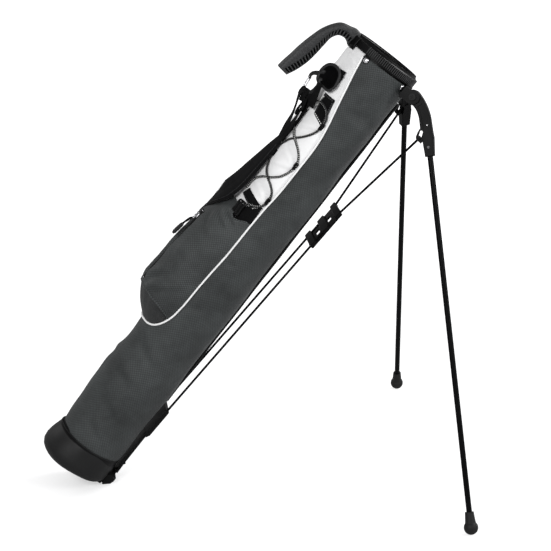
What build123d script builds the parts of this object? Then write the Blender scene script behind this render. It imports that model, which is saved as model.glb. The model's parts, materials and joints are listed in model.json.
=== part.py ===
from build123d import *
import os
from math import sin, cos, radians, sqrt, atan2, degrees, pi

os.makedirs("parts", exist_ok=True)

# ---------------------------------------------------------------- driving sizes (millimetres)
LEAN = 51.431            # angle of the tube to the ground when the bag stands on its legs
TUBE_R = 62.9            # outer radius of the fabric tube (a 5 inch tube)
SLEEVE_T = 1.9           # fabric tube wall
LINER_R = 60.7           # outer radius of the inner liner
LINER_T = 1.1
BOOT_H = 50.0            # height of the moulded base cup up to the fabric seam
BOOT_R = 62.3
RIM_TOP = 66.0           # spigot of the cup inside the fabric
TOP_Z = 902.0            # top lip of the throat collar
COLLAR_Z = 883.0         # lower edge of the visible collar band
COLLAR_R = 66.0
THROAT_R = 57.6          # clear radius for the clubs
PIV = (59.8, -68.0, 874.3)      # near leg pivot
SWING_N = (0.474, 0.8805, 0.0)  # normal of the near leg's swing plane
LEG_DIR = (0.7104, -0.7038)     # leg direction in its swing plane (out, up)
LEG_P0 = (62.8, -38.3)          # a point of the leg line in the swing plane
LEG_R = 4.75
LEG_LEN = 647.8                 # from that point to the centre of the foot
EAR = (49.6, -45.3)             # push rod eye on the elbow, in the swing plane
LEVER = (29.3, 6.0)             # toe lever pivot, (back, up the tube)
KNUCKLE = (70.0, 20.2)          # toe lever to push plate hinge
ROD_Y = 22.0                    # push rods sit this far either side of the middle
ROD_R = 1.6
BLOCK_Z = (562.0, 641.0)        # rod spacer block
GRND = (TUBE_R, 0.0)            # the ground passes through this point of the side view

# ---------------------------------------------------------------- frames
th = radians(LEAN)
ax = Vector(cos(th), 0, sin(th))       # along the tube, up
bk = Vector(sin(th), 0, -cos(th))      # toward the legs
yy = Vector(0, 1, 0)
B0 = Vector(-TUBE_R * sin(th), 0, TUBE_R * cos(th))  # centre of the base
BAG = Plane(origin=B0, x_dir=bk, z_dir=ax)
AXIS = Axis(B0, ax)


def pt(x, y, z):
    return B0 + bk * x + yy * y + ax * z


def dr(x, y, z):
    return bk * x + yy * y + ax * z


SIDE = Plane(origin=B0, x_dir=bk, z_dir=Vector(0, -1, 0))   # side view: x = back, y = up the tube
nl = Vector(*SWING_N).normalized()
n3 = dr(nl.X, nl.Y, 0)
w3 = dr(nl.Y, -nl.X, 0)
SWING = Plane(origin=pt(*PIV), x_dir=w3, z_dir=n3 * -1)     # swing plane: x = out, y = up the tube


def rod_x(z):
    return 72.0 + (z - 160.0) * 0.05333


def swing_at(o, z, n=0.0):
    return pt(*PIV) + w3 * o + ax * z + n3 * n


def save(bp, label):
    bp.part.label = label
    export_step(bp.part, f"parts/{label}.step")


# ================================================================ base
# moulded cup with a rounded foot edge, a spigot for the fabric and a pocket for the toe lever
with BuildPart() as base_boot:
    with BuildSketch(SIDE):
        with BuildLine():
            Polyline((0, 0), (BOOT_R - 10.5, 0))
            RadiusArc((BOOT_R - 10.5, 0), (BOOT_R, 10.5), -10.5)
            Polyline((BOOT_R, 10.5), (BOOT_R, BOOT_H), (59.3, BOOT_H), (59.3, RIM_TOP), (57.2, RIM_TOP),
                     (57.2, 9.0), (52.0, 3.6), (0, 3.6), (0, 0))
        make_face()
    revolve(axis=AXIS)
    with BuildSketch(BAG):
        with Locations((38.0, 0)):
            Rectangle(42.0, 62.0)
    extrude(amount=31.0)
    with BuildSketch(BAG.offset(-1.0)):
        with Locations((51.0, 0)):
            Rectangle(62.0, 55.0)
    extrude(amount=29.0, mode=Mode.SUBTRACT)
    # trim what sticks out of the cup
    with BuildSketch(BAG.offset(-1.0)):
        Circle(90)
        Circle(BOOT_R, mode=Mode.SUBTRACT)
    extrude(amount=80.0, mode=Mode.SUBTRACT)
    # bore for the lever pin
    with BuildSketch(SIDE.offset(-30.2)):
        with Locations(LEVER):
            Circle(2.55)
    extrude(amount=60.4, mode=Mode.SUBTRACT)
save(base_boot, "base_boot")

with BuildPart() as base_foam:
    with BuildSketch(BAG.offset(31.3)):
        Circle(56.6)
    extrude(amount=9.0)
    fillet(base_foam.edges().filter_by(GeomType.CIRCLE), 2.0)
save(base_foam, "base_foam_disc")

with BuildPart() as lever_pin:
    with BuildSketch(SIDE.offset(-30.0)):
        with Locations(LEVER):
            Circle(2.5)
    extrude(amount=60.0)
save(lever_pin, "toe_lever_pin")


def gz(x, up=0.0):
    # height in the side view of a line parallel to the ground, lifted by up
    s, c = 0.6235, 0.7819
    return ((x - GRND[0]) * s + up) / c


# lever: barrel on the pin, arm out of the pocket, flat toe, knuckle for the push plate
with BuildPart() as toe_lever:
    with BuildSketch(SIDE.offset(-26.0)):
        with BuildLine():
            Polyline((29.3, 1.4), (56.6, 1.6), (61.6, gz(61.6, 3.1)), (71.4, gz(71.4, 3.1)), (73.8, 14.0),
                     (73.8, 20.2), (70.0, 24.0), (66.2, 22.6), (52.0, 17.6), (31.0, 10.4), (29.3, 1.4))
        make_face()
        with Locations(LEVER):
            Circle(4.6)
        with Locations(KNUCKLE):
            Circle(3.8)
    extrude(amount=52.0)
    # lighten the arm from above between three ribs
    with BuildSketch(BAG.offset(5.2)):
        with Locations((48.5, -12.5), (48.5, 12.5)):
            RectangleRounded(20.0, 19.0, 3.0)
    extrude(amount=20.0, mode=Mode.SUBTRACT)
    with BuildSketch(SIDE.offset(-30.0)):
        with Locations(LEVER):
            Circle(2.55)
        with Locations(KNUCKLE):
            Circle(1.55)
    extrude(amount=60.0, mode=Mode.SUBTRACT)
    # gap in the knuckle for the push plate
    with BuildSketch(SIDE.offset(-13.6)):
        with Locations(KNUCKLE):
            Circle(5.0)
        with BuildLine():
            Polyline((65.4, 20.2), (74.6, 20.2), (76.0, 32.0), (64.0, 32.0), (65.4, 20.2))
        make_face()
    extrude(amount=27.2, mode=Mode.SUBTRACT)
save(toe_lever, "toe_lever")

with BuildPart() as toe_pad:
    with BuildSketch(SIDE.offset(-25.0)):
        with BuildLine():
            Polyline((60.6, gz(60.6)), (72.0, gz(72.0)), (73.9, 13.6), (71.6, gz(71.4, 3.0)), (61.7, gz(61.6, 3.0)),
                     (60.6, gz(60.6)))
        make_face()
    extrude(amount=50.0)
save(toe_pad, "toe_rubber_pad")

with BuildPart() as link_pin:
    with BuildSketch(SIDE.offset(-25.5)):
        with Locations(KNUCKLE):
            Circle(1.5)
    extrude(amount=51.0)
save(link_pin, "push_plate_pin")

# ================================================================ push linkage
with BuildPart() as push_plate:
    # narrow tongue with the knuckle
    with BuildSketch(SIDE.offset(-13.2)):
        with Locations(KNUCKLE):
            Circle(3.7)
        with BuildLine():
            Polyline((68.2, 20.2), (71.8, 20.2), (70.9, 40.0), (67.4, 40.0), (68.2, 20.2))
        make_face()
    extrude(amount=26.4)
    # wide strip
    with BuildSketch(SIDE.offset(-23.0)):
        with BuildLine():
            Polyline((67.0, 30.0), (70.6, 30.0), (69.9, 56.0), (70.6, 118.0), (67.4, 118.0), (66.9, 56.0), (67.0, 30.0))
        make_face()
    extrude(amount=46.0)
    # bead across the strip
    with BuildSketch(SIDE.offset(-20.0)):
        with Locations((70.3, 52.0)):
            Circle(2.4)
        with Locations((66.0, 52.0)):
            Rectangle(3.0, 6.0, mode=Mode.SUBTRACT)
    extrude(amount=40.0)
    # anchor block for the two wires
    with BuildSketch(SIDE.offset(-26.0)):
        with BuildLine():
            Polyline((67.6, 114.0), (71.4, 116.0), (74.4, 122.0), (76.6, 174.0), (75.6, 177.0), (69.4, 177.0),
                     (67.6, 114.0))
        make_face()
    extrude(amount=52.0)
    with BuildSketch(SIDE.offset(-40.0)):
        with Locations(KNUCKLE):
            Circle(1.55)
    extrude(amount=80.0, mode=Mode.SUBTRACT)
    for s in (-1, 1):
        with BuildSketch(Plane(origin=pt(rod_x(150), s * ROD_Y, 150), x_dir=yy, z_dir=dr(0.05325, 0, 0.99858))):
            Circle(ROD_R + 0.03)
        extrude(amount=40, mode=Mode.SUBTRACT)
save(push_plate, "push_plate")

with BuildPart() as lower_rods:
    for s in (-1, 1):
        with BuildSketch(Plane(origin=pt(rod_x(150.2), s * ROD_Y, 150.2), x_dir=yy, z_dir=dr(0.05325, 0, 0.99858))):
            Circle(ROD_R)
        extrude(amount=(600.0 - 150.2) / 0.99858)
save(lower_rods, "lower_push_rods")

# spacer block: flat plate across both wires, two through slots, three lugs on the back face
SWIVEL = (-0.77394, -0.62068, -0.12563)     # axis of the near upper wire's swivel in the block
BLK = Plane(origin=pt(rod_x(601.5), 0, 601.5), x_dir=yy, z_dir=dr(0.99858, 0, -0.05325))
K_NEAR = pt(rod_x(640.0), -ROD_Y, 640.0)
E_NEAR = swing_at(*EAR)
d_up = (E_NEAR - K_NEAR).normalized()
with BuildPart() as rod_block:
    with BuildSketch(BLK.offset(-3.4)):
        RectangleRounded(62.0, 79.0, 6.0)
        with Locations((0, 19.0), (0, -19.0)):
            RectangleRounded(26.0, 27.0, 4.0, mode=Mode.SUBTRACT)
    extrude(amount=6.8)
    fillet(rod_block.edges().filter_by(GeomType.CIRCLE).group_by(SortBy.LENGTH)[-1], 0.6)
    with BuildSketch(BLK.offset(3.3)):
        with Locations((-24.0, -8.0), (24.0, -8.0), (0, 0)):
            RectangleRounded(8.0, 12.0, 2.0)
    extrude(amount=3.0)
    for s in (-1, 1):
        # bore for the lower wire
        with BuildSketch(Plane(origin=pt(rod_x(555), s * ROD_Y, 555), x_dir=yy, z_dir=dr(0.05325, 0, 0.99858))):
            Circle(ROD_R + 0.03)
        extrude(amount=45.2, mode=Mode.SUBTRACT)
        # barrel seat and its mouth for the upper wire
        k = pt(rod_x(636.0), s * ROD_Y, 636.0)
        seat = dr(SWIVEL[0], -s * SWIVEL[1], SWIVEL[2]).normalized()
        with BuildSketch(Plane(origin=k - seat * 2.15, z_dir=seat)):
            Circle(2.56)
        extrude(amount=4.3, mode=Mode.SUBTRACT)
        up = dr(-0.02, s * 0.30, 0.95).normalized()
        with BuildSketch(Plane(origin=k, z_dir=up)):
            Circle(2.2)
        with BuildSketch(Plane(origin=k + up * 14, z_dir=up)):
            Circle(5.6)
        loft(mode=Mode.SUBTRACT)
save(rod_block, "rod_spacer_block")

K_NEAR = pt(rod_x(636.0), -ROD_Y, 636.0)
d_up = (E_NEAR + n3 * 4.3 - K_NEAR).normalized()
with BuildPart() as upper_rod_near:
    swv = dr(*SWIVEL).normalized()
    with BuildSketch(Plane(origin=K_NEAR - swv * 2.0, z_dir=swv)):
        Circle(2.5)
    extrude(amount=4.0)
    e1 = E_NEAR + n3 * 4.3
    with BuildSketch(Plane(origin=K_NEAR, z_dir=d_up)):
        Circle(ROD_R)
    extrude(amount=(e1 - K_NEAR).length)
    with Locations(Location(e1)):
        Sphere(ROD_R)
    with BuildSketch(Plane(origin=e1, z_dir=n3 * -1)):
        Circle(ROD_R)
    extrude(amount=9.6)
    with BuildSketch(Plane(origin=e1 - n3 * 8.5, z_dir=n3 * -1)):
        Circle(2.6)
    extrude(amount=1.4)
save(upper_rod_near, "upper_push_rod_near")
with BuildPart() as upper_rod_far:
    mirror(upper_rod_near.part, about=Plane.XZ)
save(upper_rod_far, "upper_push_rod_far")

# ================================================================ legs
ld = LEG_DIR
lp = (-ld[1], ld[0])      # across the leg line, outward


def leg_pt(t, off=0.0):
    return (LEG_P0[0] + ld[0] * t + lp[0] * off, LEG_P0[1] + ld[1] * t + lp[1] * off)


with BuildPart() as leg_elbow_near:
    with BuildSketch(SWING.offset(-7.0)):
        with BuildLine():
            Spline((4.0, 12.3), (22.3, 5.8), (41.0, -5.5), (55.0, -18.0), leg_pt(-2, 10.2))
            Polyline(leg_pt(-2, 10.2), leg_pt(29, 7.6), leg_pt(29, -7.6), leg_pt(-2, -9.6))
            Spline(leg_pt(-2, -9.6), (38.5, -29.5), (23.4, -16.4), (9.0, -11.0), (-3.0, -12.6))
            Line((-3.0, -12.6), (4.0, 12.3))
        make_face()
        Circle(13.0)
    extrude(amount=14.0)
    fillet(leg_elbow_near.faces().filter_by(Plane(SWING.origin, x_dir=w3, z_dir=n3)).edges(), 1.6)
    # recessed web on both broad faces
    for off in (5.4, -7.1):
        with BuildSketch(SWING.offset(off)):
            with BuildLine():
                Spline((19.0, 2.0), (30.0, -3.6), (44.0, -14.0), (54.0, -24.5))
                Line((54.0, -24.5), (49.0, -31.5))
                Spline((49.0, -31.5), (38.0, -22.5), (26.0, -12.6), (16.0, -8.0))
                Line((16.0, -8.0), (19.0, 2.0))
            make_face()
        extrude(amount=1.7, mode=Mode.SUBTRACT)
    # ear for the push rod, thin, with a slotted eye
    with BuildSketch(SWING.offset(-1.5)):
        with Locations(EAR):
            Circle(6.2)
        with BuildLine():
            Polyline((EAR[0] - 8.0, EAR[1] + 5.4), (40.6, -30.0), (58.0, -42.0), (57.6, -52.0), (EAR[0] - 1.0, EAR[1] - 6.1),
                     (EAR[0] - 5.6, EAR[1] - 2.6), (EAR[0] - 8.0, EAR[1] + 5.4))
        make_face()
    extrude(amount=3.0)
    for off in (1.5, -12.0):
        with BuildSketch(SWING.offset(off)):
            with Locations(EAR):
                Circle(7.6)
            with Locations((EAR[0] - 2.1, EAR[1] + 5.1)):
                Circle(6.4)
        extrude(amount=10.5, mode=Mode.SUBTRACT)
    with BuildSketch(SWING.offset(-10)):
        with Locations((EAR[0] - 1.44, EAR[1] + 4.65)):
            SlotOverall(14.8, 5.2, rotation=112.4)
        with Locations((46.6, -21.6)):
            Circle(1.7)
    extrude(amount=20, mode=Mode.SUBTRACT)
    # pivot bore
    with BuildSketch(SWING.offset(-10)):
        Circle(3.05)
    extrude(amount=20, mode=Mode.SUBTRACT)
    # socket for the leg tube
    with BuildSketch(Plane(origin=swing_at(*leg_pt(31)), x_dir=n3, z_dir=(w3 * ld[0] + ax * ld[1]) * -1)):
        Circle(LEG_R + 0.05)
    extrude(amount=37.0, mode=Mode.SUBTRACT)
save(leg_elbow_near, "leg_elbow_near")
with BuildPart() as leg_elbow_far:
    mirror(leg_elbow_near.part, about=Plane.XZ)
save(leg_elbow_far, "leg_elbow_far")

leg3 = w3 * ld[0] + ax * ld[1]
with BuildPart() as leg_tube_near:
    with BuildSketch(Plane(origin=swing_at(*leg_pt(-5.8)), x_dir=n3, z_dir=leg3)):
        Circle(LEG_R)
        Circle(LEG_R - 1.0, mode=Mode.SUBTRACT)
    extrude(amount=5.8 + LEG_LEN - 4.0)
save(leg_tube_near, "leg_tube_near")
with BuildPart() as leg_tube_far:
    mirror(leg_tube_near.part, about=Plane.XZ)
save(leg_tube_far, "leg_tube_far")

# rubber foot: cuff on the tube and a rounded bulb, its lowest point on the ground
foot_c = swing_at(*leg_pt(LEG_LEN))
with BuildPart() as leg_foot_near:
    with BuildSketch(Plane(origin=swing_at(*leg_pt(LEG_LEN - 26.0)), x_dir=n3, z_dir=leg3)):
        Circle(7.4)
    with BuildSketch(Plane(origin=swing_at(*leg_pt(LEG_LEN - 12.0)), x_dir=n3, z_dir=leg3)):
        Circle(8.6)
    loft()
    with BuildSketch(Plane(origin=swing_at(*leg_pt(LEG_LEN - 12.0)), x_dir=n3, z_dir=leg3)):
        Circle(8.6)
    with BuildSketch(Plane(origin=swing_at(*leg_pt(LEG_LEN)), x_dir=n3, z_dir=leg3)):
        Circle(10.0)
    loft()
    with Locations(Location(foot_c)):
        Sphere(12.0)
    with BuildSketch(Plane(origin=swing_at(*leg_pt(LEG_LEN - 30.0)), x_dir=n3, z_dir=leg3)):
        Circle(LEG_R + 0.03)
    extrude(amount=26.2, mode=Mode.SUBTRACT)
save(leg_foot_near, "leg_foot_near")
with BuildPart() as leg_foot_far:
    mirror(leg_foot_near.part, about=Plane.XZ)
save(leg_foot_far, "leg_foot_far")

# screw holding each leg tube in its elbow
with BuildPart() as elbow_screw_near:
    with BuildSketch(SWING.offset(7.02)):
        with Locations(leg_pt(14)):
            Circle(2.6)
    extrude(amount=1.3)
    fillet(elbow_screw_near.edges().filter_by(GeomType.CIRCLE).sort_by(Axis(swing_at(0, 0), n3 * -1))[-1], 0.6)
save(elbow_screw_near, "elbow_screw_near")
with BuildPart() as elbow_screw_far:
    mirror(elbow_screw_near.part, about=Plane.XZ)
save(elbow_screw_far, "elbow_screw_far")

# ================================================================ stand yoke at the back of the collar
with BuildPart() as stand_yoke:
    # saddle on the tube
    with BuildSketch(BAG.offset(861.0)):
        Circle(67.0)
        Circle(TUBE_R + 0.05, mode=Mode.SUBTRACT)
        with BuildLine():
            Polyline((0, 0), (73.1, -68.0), (-90, -90), (-90, 90), (73.1, 68.0), (0, 0))
        make_face(mode=Mode.SUBTRACT)
    extrude(amount=21.4)
    for s in (-1, 1):
        with BuildSketch(BAG.offset(861.0)):
            with BuildLine():
                Polyline((46.6, s * 43.4), (37.9, s * 67.2), (42.3, s * 70.2), (52.6, s * 52.0), (60.0, s * 30.0),
                         (57.8, s * 26.0), (46.6, s * 43.4))
            make_face()
            Circle(TUBE_R + 0.05, mode=Mode.SUBTRACT)
        extrude(amount=21.4)
    # clevis cheeks either side of each elbow
    for off in (7.5, -10.5):
        with BuildSketch(SWING.offset(off)):
            Circle(12.2)
            with Locations((-10.0, -2.6)):
                Rectangle(20.0, 19.0)
        extrude(amount=3.0)
    for off in (7.5, -10.5):
        with BuildSketch(Plane(origin=pt(PIV[0], -PIV[1], PIV[2]), x_dir=dr(nl.Y, nl.X, 0), z_dir=dr(-nl.X, nl.Y, 0)).offset(off)):
            Circle(12.2)
            with Locations((-10.0, -2.6)):
                Rectangle(20.0, 19.0)
        extrude(amount=3.0)
    # bores for the leg pins and the collar clearance
    with BuildSketch(SWING.offset(-12)):
        Circle(3.03)
    extrude(amount=24, mode=Mode.SUBTRACT)
    with BuildSketch(Plane(origin=pt(PIV[0], -PIV[1], PIV[2]), x_dir=dr(nl.Y, nl.X, 0), z_dir=dr(-nl.X, nl.Y, 0)).offset(-12)):
        Circle(3.03)
    extrude(amount=24, mode=Mode.SUBTRACT)
    with BuildSketch(BAG.offset(850)):
        Circle(TUBE_R + 0.05)
    extrude(amount=60, mode=Mode.SUBTRACT)
save(stand_yoke, "stand_yoke")

with BuildPart() as leg_pivot_pins:
    for s in (-1, 1):
        base = SWING if s < 0 else Plane(origin=pt(PIV[0], -PIV[1], PIV[2]), x_dir=dr(nl.Y, nl.X, 0), z_dir=dr(-nl.X, nl.Y, 0))
        with BuildSketch(base.offset(-12.4)):
            Circle(3.0)
        extrude(amount=24.8)
        with BuildSketch(base.offset(10.55)):
            Circle(6.0)
        extrude(amount=2.6)
        with BuildSketch(base.offset(12.2)):
            Rectangle(5.0, 1.2)
            Rectangle(1.2, 5.0)
        extrude(amount=2.0, mode=Mode.SUBTRACT)
        with BuildSketch(base.offset(-12.6)):
            Circle(5.0)
        extrude(amount=2.05)
save(leg_pivot_pins, "leg_pivot_pins")

# ================================================================ collar, sleeve, liner
RIV_Z = 875.0
RIV_A = (51.5, 128.0)
with BuildPart() as top_collar:
    with BuildSketch(SIDE):
        with BuildLine():
            Polyline((THROAT_R, 899.0), (THROAT_R, 867.0), (59.3, 867.0), (59.3, COLLAR_Z), (COLLAR_R, COLLAR_Z), (COLLAR_R, 896.0))
            RadiusArc((COLLAR_R, 896.0), (60.0, TOP_Z), 6.0)
            RadiusArc((60.0, TOP_Z), (THROAT_R, 899.0), 3.2)
        make_face()
    revolve(axis=AXIS)
    # upright flutes round the two flanks of the band
    with BuildSketch(BAG.offset(885.0)):
        for s in (-1, 1):
            with PolarLocations(COLLAR_R + 0.3, 22, start_angle=s * 84 - 35, angular_range=70):
                Rectangle(2.6, 1.7)
    extrude(amount=10.5, mode=Mode.SUBTRACT)
    for a in RIV_A:
        for s in (-1, 1):
            r3 = dr(cos(radians(a)), s * sin(radians(a)), 0)
            with BuildSketch(Plane(origin=pt(50 * cos(radians(a)), s * 50 * sin(radians(a)), RIV_Z), x_dir=ax, z_dir=r3)):
                Circle(1.55)
            extrude(amount=12.0, mode=Mode.SUBTRACT)
    # screw holes for the grab handle
    with BuildSketch(Plane(origin=pt(-50, 0, 892.5), x_dir=yy, z_dir=bk * -1)):
        with Locations((-8, 0), (8, 0)):
            Circle(1.55)
    extrude(amount=30, mode=Mode.SUBTRACT)
    with BuildSketch(Plane(origin=pt(-50, 0, 892.5), x_dir=yy, z_dir=bk * -1)):
        with Locations((-8, 0), (8, 0)):
            Circle(3.1)
    extrude(amount=10.1, mode=Mode.SUBTRACT)
save(top_collar, "top_collar")

# edge between the front panel and the main sleeve: angle from the back of the tube, height
EDGE_A = [(137.0, 883.2), (134.0, 868), (130.5, 845), (126.0, 822), (121.3, 797), (117.3, 776), (112.5, 751), (109.3, 728),
          (107.6, 700), (107.8, 672), (108.0, 648), (108.3, 620), (109.6, 595), (111.0, 578), (112.0, 556), (112.6, 530), (113.0, 500)]
EDGE = [(TUBE_R * cos(radians(a)), z) for a, z in EDGE_A]
with BuildPart() as body_sleeve:
    with BuildSketch(BAG.offset(BOOT_H + 0.1)):
        Circle(TUBE_R)
        Circle(TUBE_R - SLEEVE_T, mode=Mode.SUBTRACT)
    extrude(amount=COLLAR_Z - 0.1 - BOOT_H - 0.1)
    with BuildSketch(SIDE.offset(-70)):
        with BuildLine():
            Spline(*EDGE)
            Polyline(EDGE[-1], (-80, 500), (-80, 884), (EDGE[0][0], 884), EDGE[0])
        make_face()
    extrude(amount=140, mode=Mode.SUBTRACT)
    for a in RIV_A:
        for s in (-1, 1):
            r3 = dr(cos(radians(a)), s * sin(radians(a)), 0)
            with BuildSketch(Plane(origin=pt(50 * cos(radians(a)), s * 50 * sin(radians(a)), RIV_Z), x_dir=ax, z_dir=r3)):
                Circle(1.55)
            extrude(amount=16.0, mode=Mode.SUBTRACT)
save(body_sleeve, "body_sleeve")

with BuildPart() as front_panel:
    with BuildSketch(BAG.offset(500.2)):
        Circle(TUBE_R - 0.1)
        Circle(TUBE_R - SLEEVE_T, mode=Mode.SUBTRACT)
    extrude(amount=COLLAR_Z - 0.1 - 500.2)
    with BuildSketch(SIDE.offset(-70)):
        with BuildLine():
            Spline(*[(x - 0.15, z) for x, z in EDGE])
            Polyline((EDGE[-1][0] - 0.15, 500), (80, 500), (80, 884), (EDGE[0][0] - 0.15, 884), (EDGE[0][0] - 0.15, EDGE[0][1]))
        make_face()
    extrude(amount=140, mode=Mode.SUBTRACT)
save(front_panel, "front_panel")

with BuildPart() as inner_liner:
    with BuildSketch(BAG.offset(RIM_TOP + 0.6)):
        Circle(LINER_R)
        Circle(LINER_R - LINER_T, mode=Mode.SUBTRACT)
    extrude(amount=880.0 - RIM_TOP)
    for a in RIV_A:
        for s in (-1, 1):
            r3 = dr(cos(radians(a)), s * sin(radians(a)), 0)
            with BuildSketch(Plane(origin=pt(50 * cos(radians(a)), s * 50 * sin(radians(a)), RIV_Z), x_dir=ax, z_dir=r3)):
                Circle(1.55)
            extrude(amount=16.0, mode=Mode.SUBTRACT)
save(inner_liner, "inner_liner")

with BuildPart() as collar_rivets:
    for a in RIV_A:
        for s in (-1, 1):
            r3 = dr(cos(radians(a)), s * sin(radians(a)), 0)
            o = pt(57.7 * cos(radians(a)), s * 57.7 * sin(radians(a)), RIV_Z)
            with BuildSketch(Plane(origin=o, x_dir=ax, z_dir=r3)):
                Circle(1.5)
            extrude(amount=6.6)
            top = o + r3 * 5.45
            with BuildSketch(Plane(origin=top, x_dir=ax, z_dir=r3)):
                Circle(4.2)
            extrude(amount=1.7, taper=38)
save(collar_rivets, "collar_rivets")

# flat stay down the back of the tube
with BuildPart() as spine_strip:
    with BuildSketch(BAG.offset(184.0)):
        Circle(65.2)
        Circle(TUBE_R + 0.05, mode=Mode.SUBTRACT)
        with BuildLine():
            Polyline((0, 0), (90, -22.5), (90, -90), (-90, -90), (-90, 90), (90, 90), (90, 22.5), (0, 0))
        make_face(mode=Mode.SUBTRACT)
    extrude(amount=660.0)
save(spine_strip, "spine_strip")

# piping round the front panel and pocket
PIPE = [(135.6, 876.0), (130.5, 845), (126.0, 822), (121.3, 797), (117.3, 776), (112.5, 751), (109.3, 728), (107.6, 700), (107.8, 672),
        (108.0, 648), (108.3, 620), (109.6, 595), (111.0, 578), (112.0, 556), (112.6, 530), (113.0, 500), (113.5, 474), (116.0, 435),
        (118.0, 395), (119.5, 352), (124.0, 323), (131.5, 306), (140.0, 296.5), (150.0, 292), (165.0, 290.5), (180.0, 290)]
PR = TUBE_R + 2.3
pp = [pt(PR * cos(radians(a)), -PR * sin(radians(a)), z) for a, z in PIPE]
pp += [pt(PR * cos(radians(a)), PR * sin(radians(a)), z) for a, z in PIPE[-2::-1]]
with BuildPart() as piping:
    with BuildLine() as pl:
        Spline(*pp)
    with BuildSketch(Plane(origin=pl.line @ 0, z_dir=pl.line % 0)):
        Circle(2.15)
    sweep(path=pl.line)
save(piping, "panel_piping")

# ================================================================ grab handle
H_OUT = [(-145.9, 779.4), (-139.2, 812.4), (-133.0, 843.0), (-123.4, 869.1), (-115.7, 885.9), (-103.6, 898.5), (-93.2, 902.3),
         (-72.5, 906.2)]
N_SLOTS = 25
H_IN = [(-124.8, 774.8), (-116.1, 797.5), (-108.6, 817.7), (-105.8, 843.6), (-102.7, 860.4), (-98.0, 872.4), (-90.3, 879.3),
        (-81.1, 881.1), (-72.0, 880.0)]
with BuildPart() as grab_handle:
    with BuildSketch(SIDE.offset(-14.0)):
        with BuildLine():
            Spline(*H_OUT)
            Polyline(H_OUT[-1], (-64.5, 902.5), (-60.0, 893.0), (-60.0, 884.0), (-66.0, 877.0), H_IN[-1])
            Spline(*H_IN[::-1])
            Line(H_IN[0], H_OUT[0])
        make_face()
    extrude(amount=28.0)
    fillet(grab_handle.edges().filter_by(lambda e: abs(abs(e.center().Y) - 14.0) < 0.01 and e.length > 60), 3.0)
    # seat on the collar
    with BuildSketch(BAG.offset(860)):
        Circle(COLLAR_R + 0.05)
    extrude(amount=60, mode=Mode.SUBTRACT)
    # channel for the soft grip
    with BuildSketch(SIDE.offset(-9.6)):
        with BuildLine():
            Spline(*[(x + 2.0, z - 1.0) for x, z in H_IN[:-1]])
            Line((H_IN[-2][0] + 2.0, H_IN[-2][1] - 1.0), (H_IN[-2][0] - 4.0, H_IN[-2][1] + 7.0))
            Spline(*[(-85.1, 888.1), (-95.0, 885.8), (-104.0, 877.0), (-110.0, 861.0), (-113.4, 843.0), (-117.0, 817.0), (-127.5, 786.0)])
            Line((-127.5, 786.0), (H_IN[0][0] + 2.0, H_IN[0][1] - 1.0))
        make_face()
    extrude(amount=19.2, mode=Mode.SUBTRACT)
    with BuildSketch(Plane(origin=pt(-60, 0, 892.5), x_dir=yy, z_dir=bk * -1)):
        with Locations((-8, 0), (8, 0)):
            Circle(1.55)
    extrude(amount=14, mode=Mode.SUBTRACT)
    # row of finger slots along the inner side, the grip shows through them
    with BuildLine(Plane.XY) as inner:
        Spline(*H_IN)
    with BuildSketch(SIDE.offset(-16.0)):
        for i in range(N_SLOTS):
            t = 0.035 + 0.925 * i / (N_SLOTS - 1)
            q, d = inner.line @ t, inner.line % t
            with Locations(Location((q.X - d.Y * 4.7, q.Y + d.X * 4.7, 0), (0, 0, degrees(atan2(d.Y, d.X))))):
                Rectangle(2.5, 6.8)
    extrude(amount=32.0, mode=Mode.SUBTRACT)
save(grab_handle, "grab_handle")

with BuildPart() as handle_grip:
    with BuildSketch(SIDE.offset(-9.5)):
        with BuildLine():
            Spline(*[(-121.5, 780.0), (-115.1, 798.5), (-107.6, 818.7), (-104.8, 843.6), (-101.7, 860.0), (-97.4, 871.4), (-90.0, 878.3), (-83.3, 880.0)])
            Line((-83.3, 880.0), (-86.2, 887.6))
            Spline(*[(-86.2, 887.6), (-95.3, 885.1), (-103.4, 876.6), (-109.2, 860.6), (-112.6, 842.6), (-116.2, 817.0), (-126.0, 788.0)])
            Line((-126.0, 788.0), (-121.5, 780.0))
        make_face()
    extrude(amount=19.0)
save(handle_grip, "handle_grip")

with BuildPart() as handle_screws:
    for y in (-8, 8):
        with BuildSketch(Plane(origin=pt(-59.9, y, 892.5), x_dir=yy, z_dir=bk * -1)):
            Circle(1.5)
        extrude(amount=12.2)
        with BuildSketch(Plane(origin=pt(-59.9, y, 892.5), x_dir=yy, z_dir=bk)):
            Circle(3.0)
        extrude(amount=1.6)
save(handle_screws, "handle_screws")

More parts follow.
